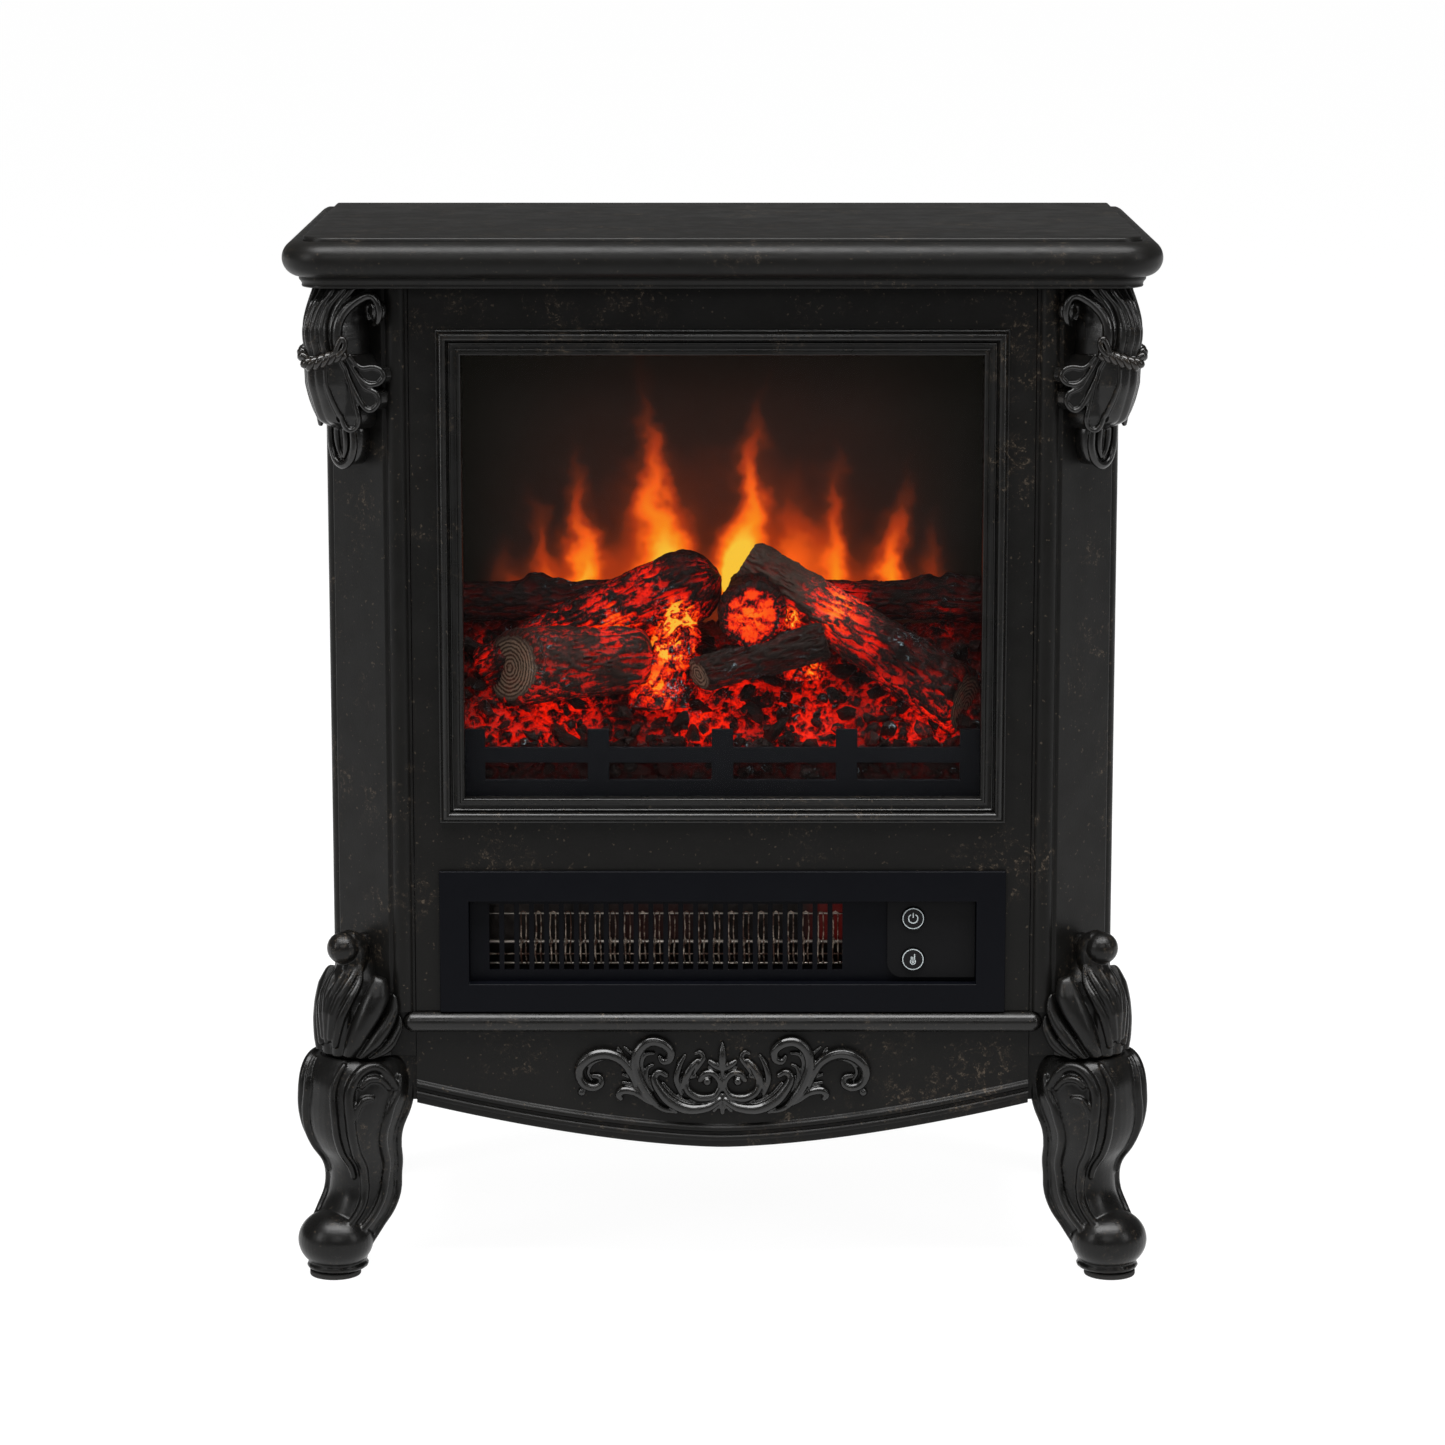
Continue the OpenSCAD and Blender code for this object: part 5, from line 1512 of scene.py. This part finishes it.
def coal(draw, size, long):
    """Rough lump with flat facets, about its own middle."""
    mesh = bmesh.new()
    for _ in range(15):
        spot = Vector([draw.gauss(0, 1) for _ in range(3)]).normalized()
        mesh.verts.new((spot.x * size * long, spot.y * size, spot.z * size))
    bmesh.ops.convex_hull(mesh, input=mesh.verts)
    loose = [v for v in mesh.verts if not v.link_faces]
    bmesh.ops.delete(mesh, geom=loose, context="VERTS")
    bmesh.ops.subdivide_edges(mesh, edges=mesh.edges, cuts=2, use_grid_fill=True)
    mesh.verts.ensure_lookup_table()
    mesh.verts.index_update()
    points = [v.co.copy() for v in mesh.verts]
    faces = [tuple(v.index for v in f.verts) for f in mesh.faces]
    mesh.free()
    return points, faces


def make_coals():
    """Loose coals and splinters heaped on the slope."""
    draw = random.Random(11)
    coals = 300
    front_limit = -94.2
    skin = Skin()
    for number in range(coals):
        x = draw.uniform(-160, 160)
        share = draw.uniform(0.30, 0.86) if number % 5 else draw.uniform(0.18, 0.35)
        seat, way = bed_point(x, share)
        size = draw.uniform(2.0, 5.4)
        long = draw.uniform(1.1, 2.7)
        points, faces = coal(draw, size, long)
        turn = Matrix.Rotation(draw.uniform(0, math.pi), 3, "Z")
        turn = turn @ Matrix.Rotation(draw.uniform(-0.5, 0.9), 3, "Y")
        lit = 0.15 + 1.0 * draw.random() ** 3
        first = len(skin.points)
        for p in points:
            crumble = noise.noise(p * 0.6 + Vector((number, 0, 0))) * 0.7
            spot = seat + way * (2.0 + size * 0.3) + turn @ (p * (1 + crumble * 0.22))
            spot.y = max(spot.y, front_limit)
            depth = (spot - seat).dot(way) / (size + 2.0)
            skin.add(spot, groove=clamped(0.92 - depth * 0.62 + crumble * 0.4), glow=heat_at(spot) * lit)
        skin.faces += [tuple(first + i for i in face) for face in faces]
    place(skin.object("ember_coals"), "ember", "ember_resin", angle=25)


# Columns of glowing ember: foot, top, radius at the foot and at the top
EMBER_COLUMNS = [
    ((-36, -76, 334), (-22, -66, 396), 16, 9),
    ((46, -74, 350), (38, -64, 390), 12, 6),
]


def make_core():
    """Glowing heart between the leaning logs."""
    rows, around = 60, 80
    skin = Skin()
    for foot, top, low_r, high_r in EMBER_COLUMNS:
        first = len(skin.points)
        foot, top = Vector(foot), Vector(top)
        for k in range(rows + 1):
            t = k / rows
            centre = foot + (top - foot) * t
            radius = (low_r + (high_r - low_r) * t) * math.sqrt(max(1 - t ** 4, 0.02))
            for a in turns(around):
                out = Vector((math.cos(a), math.sin(a), 0.0))
                base = centre + out * radius
                bent = base + Vector((1, 0, 2)) * noise.noise(base * 0.10) * 8
                wave = noise.noise(bent * 0.15 + Vector((0, 3, 1)))
                sharp = 1 - abs(noise.noise(bent * 0.21)) * 2.2
                skin.add(
                    base + out * (wave * 4.2 + sharp * 2.6),
                    groove=clamped(0.75 - sharp * 0.75 + wave * 0.4),
                    glow=heat_at(base) * 1.25,
                )
        rings = [skin.points[first + k * around:first + (k + 1) * around] for k in range(rows + 1)]
        skin.faces += [tuple(first + i for i in face) for face in loft(rings)[1]]
    place(skin.object("ember_core"), "ember", "ember_resin", angle=80)


# Heater, buttons and fittings ------------------------------------------------------------------

# Heights of the element's rails, and the wires' spacing
RAIL_TOP, RAIL_MIDDLE, WIRE_RAIL, RAIL_BOTTOM = 212.2, 195.4, 187.2, 182.2
WIRE_PITCH = 2.9


def make_element_rails(x0, x1, y):
    rails = Shape()
    for z, radius in ((RAIL_TOP, 0.55), (RAIL_MIDDLE, 1.15), (RAIL_BOTTOM, 0.75)):
        rails.add(tube([(x0, y, z, radius), (x1, y, z, radius)], 12))
    for x in (x0 + 1, x1 - 1):
        rails.add(tube([(x, y, RAIL_BOTTOM, 1.2), (x, y, RAIL_TOP, 1.2)], 10))
    place(rails.object("element_rails"), "rail", "zinc_steel", "heating_element")


def make_wires(x0, x1, y):
    """Upright wires that bend a little at random, with beads and loops on every third."""
    wires = Shape().add(tube([(x0, y + 2.5, WIRE_RAIL, 0.5), (x1, y + 2.5, WIRE_RAIL, 0.5)], 8))
    middle, top = RAIL_MIDDLE, RAIL_TOP
    draw = random.Random(5)
    first = x0 + 24
    for i in range(int((x1 - first - 8) / WIRE_PITCH)):
        x = first + i * WIRE_PITCH
        bend = draw.uniform(-0.5, 0.5)
        lines = []
        if i % 3 != 2:
            lines.append([
                (x, y - 1.2, middle, 0.38), (x + bend, y - 1.6, middle + 8, 0.38),
                (x, y - 1.0, top + 0.6, 0.38),
            ])
        lines.append([
            (x, y - 1.4, middle, 0.5), (x - bend, y - 1.8, middle - 7, 0.55),
            (x + 0.4, y - 1.2, RAIL_BOTTOM, 0.4),
        ])
        if i % 3 == 0:
            lines.append([
                (x, y - 1.0, top + 0.5, 0.38), (x + WIRE_PITCH / 2, y - 1.3, top + 1.5, 0.38),
                (x + WIRE_PITCH, y - 1.0, top + 0.5, 0.38),
            ])
            wires.add(tube([
                (x - 0.6, y - 1.8, middle - 1.8, 0.7), (x + 0.9, y - 2.2, middle, 0.8),
                (x + 0.2, y - 1.8, middle + 2, 0.7),
            ], 8))
        for line in lines:
            wires.add(tube(line, 6))
    place(wires.object("element_wires"), "wire", "heating_wire")


def make_reflector():
    """Slightly rippled sheet behind the wires."""
    back = FRAME_HIGH.y - 3
    low, high = FRAME_LOW.z + 2, FRAME_HIGH.z - 2
    steps = 40
    rows = []
    for k in range(steps + 1):
        x = FRAME_LOW.x + 2 + (FRAME_HIGH.x - FRAME_LOW.x - 4) * k / steps
        y = back + 0.8 * noise.noise(Vector((x * 0.08, 0, 0)))
        rows.append([(x, y, low), (x, y, high), (x, y + 0.6, high), (x, y + 0.6, low)])
    place(Shape().add(loft(rows)).object("reflector_sheet"), "foil", "reflector_foil")


def make_element():
    x0, x1 = FRAME_LOW.x + 4, FRAME_HIGH.x - 4
    y = FRAME_LOW.y + 8.0
    make_element_rails(x0, x1, y)
    make_wires(x0, x1, y)
    make_reflector()


def flat_ring(x, y, z, outer, inner, proud, start=0.0, sweep=360.0, sides=64):
    """Ring or arc printed on a face that looks along -Y."""
    rows = []
    closed = sweep >= 360.0
    for k in range(sides if closed else sides + 1):
        a = math.radians(start + sweep * k / sides)
        c, s = math.cos(a), math.sin(a)
        rows.append([(x + outer * c, y, z + outer * s), (x + outer * c, y - proud, z + outer * s),
                     (x + inner * c, y - proud, z + inner * s), (x + inner * c, y, z + inner * s)])
    if not closed:
        return loft(rows)
    points, faces = loft(rows, caps=False)
    last = (sides - 1) * 4
    for i in range(4):
        j = (i + 1) % 4
        faces.append((last + i, last + j, j, i))
    return points, faces


def bar(x0, z0, x1, z1, y, proud, half):
    """Printed line with square ends."""
    way = Vector((x1 - x0, 0, z1 - z0)).normalized()
    side = Vector((-way.z, 0, way.x)) * half
    raised = Vector((0, -proud, 0))
    ends = [Vector((x0, y, z0)), Vector((x1, y, z1))]
    return loft([[p + side, p + side + raised, p - side + raised, p - side] for p in ends])


def make_buttons():
    """Printed ring and symbol on each push button: a power mark and a thermometer."""
    proud = 0.06
    for node in ("power_button", "heat_button"):
        low, high = node_box(node)
        x, z, y = (low.x + high.x) / 2, (low.z + high.z) / 2, low.y + 0.02
        softened(node, node + "_cap", 0.35, "button", "button_plastic", body=node)
        mark = Shape().add(flat_ring(x, y, z, 6.2, 5.72, proud))
        if node == "power_button":
            mark.add(flat_ring(x, y, z, 3.0, 2.35, proud, 120, 300, 48))
            mark.add(bar(x, z + 0.5, x, z + 3.4, y, proud, 0.33))
        else:
            mark.add(flat_ring(x, y, z - 1.3, 1.75, 1.25, proud, 125, 290, 36))
            mark.add(flat_ring(x, y, z - 1.3, 0.75, 0.05, proud, 0, 360, 24))
            mark.add(bar(x - 1.0, z, x - 1.0, z + 1.7, y, proud, 0.25))
            mark.add(bar(x + 1.0, z, x + 1.0, z + 3.2, y, proud, 0.25))
            mark.add(bar(x, z - 1.3, x, z + 1.6, y, proud, 0.28))
        place(mark.object(node + "_legend"), "legend", "button_plastic", body=node)


def make_heater():
    softened("heater_surround", "heater_frame", 0.7, "heater", "heater_plastic", segments=3)
    softened("heater_grille", "heater_bars", 0.4, "heater", "heater_plastic")
    softened("control_panel", "control_facing", 0.5, "control", "heater_plastic", segments=3)
    softened("fender_grate", "fender_sheet", 0.35, "grate", "firebox_black")


SCREW_HEIGHTS = (140, 262, 400, 552)
# Rise above the panel and radius of a pan head, then depth and size of its cross recess
SCREW_HEAD = [(0.0, 3.4), (0.5, 3.4), (1.2, 3.1), (1.7, 2.4), (1.95, 1.5), (2.0, 0.9)]
SCREW_CROSS = [(0.2, 0.85), (0.9, 0.7)]


def screw(x, z, back):
    """Pan-head screw with a cross recess, its head's top on the plane y = back."""
    rings = []
    for rise, radius in SCREW_HEAD:
        spots = [(radius * math.cos(a), radius * math.sin(a)) for a in turns(24)]
        rings.append([(x + u, back - 2.0 + rise, z + v) for u, v in spots])
    for fall, radius in SCREW_CROSS:
        ring = []
        for i, a in enumerate(turns(24)):
            reach = radius * (1.5 if i % 6 == 0 else 0.55)
            ring.append((x + reach * math.cos(a), back - fall, z + reach * math.sin(a)))
        rings.append(ring)
    return loft(rings)


def make_back_screws():
    low, high = node_box("back_screws")
    shape = Shape()
    for x in (low.x + 3.4, high.x - 3.4):
        for z in SCREW_HEIGHTS:
            shape.add(screw(x, z, high.y))
    place(shape.object("back_screw_heads"), "zinc", "zinc_steel", "back_screws", angle=35)


def paint_inner_nodes():
    """Looks for the CAD nodes that stay as they are."""
    finishes = {
        "panel": ["base_plate"],
        "zinc": ["cabinet_top", "inner_shelf", "glass_clips", "leg_bolts", "flame_mask"],
        "motor": ["rotor_motor", "blower_motor"],
        "foil": ["flame_rotor", "element_frame"],
        "black": ["rotor_bush", "blower_housing", "blower_wheel", "thermal_cutout", "tilt_switch"],
        "circuit": ["flame_led_board", "ember_led_board", "button_board", "control_board"],
        "firebox": ["firebox_liner"],
        "glass": ["window_glass"],
        "flames": ["flame_screen"],
    }
    for look, nodes in finishes.items():
        for node in nodes:
            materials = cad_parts[node].data.materials
            if not materials:
                materials.append(LOOKS[look])
            for i in range(len(materials)):
                materials[i] = LOOKS[look]


def make_fittings():
    softened("cord_gland", "gland_body", 0.5, "black", "black_plastic")
    softened("foot_pads", "foot_felts", 0.6, "felt", "felt_pad")
    make_back_screws()


make_camera()
make_lights()
make_floor(floor_look())
make_mantel()
make_cornice()
make_panels()
make_bezel()
make_sill()
make_apron()
make_corbels()
make_leaves()
make_spray()
make_front_legs()
make_rear_legs()
make_bed()
make_coals()
make_core()
make_logs()
make_heater()
make_element()
make_buttons()
make_fittings()
paint_inner_nodes()
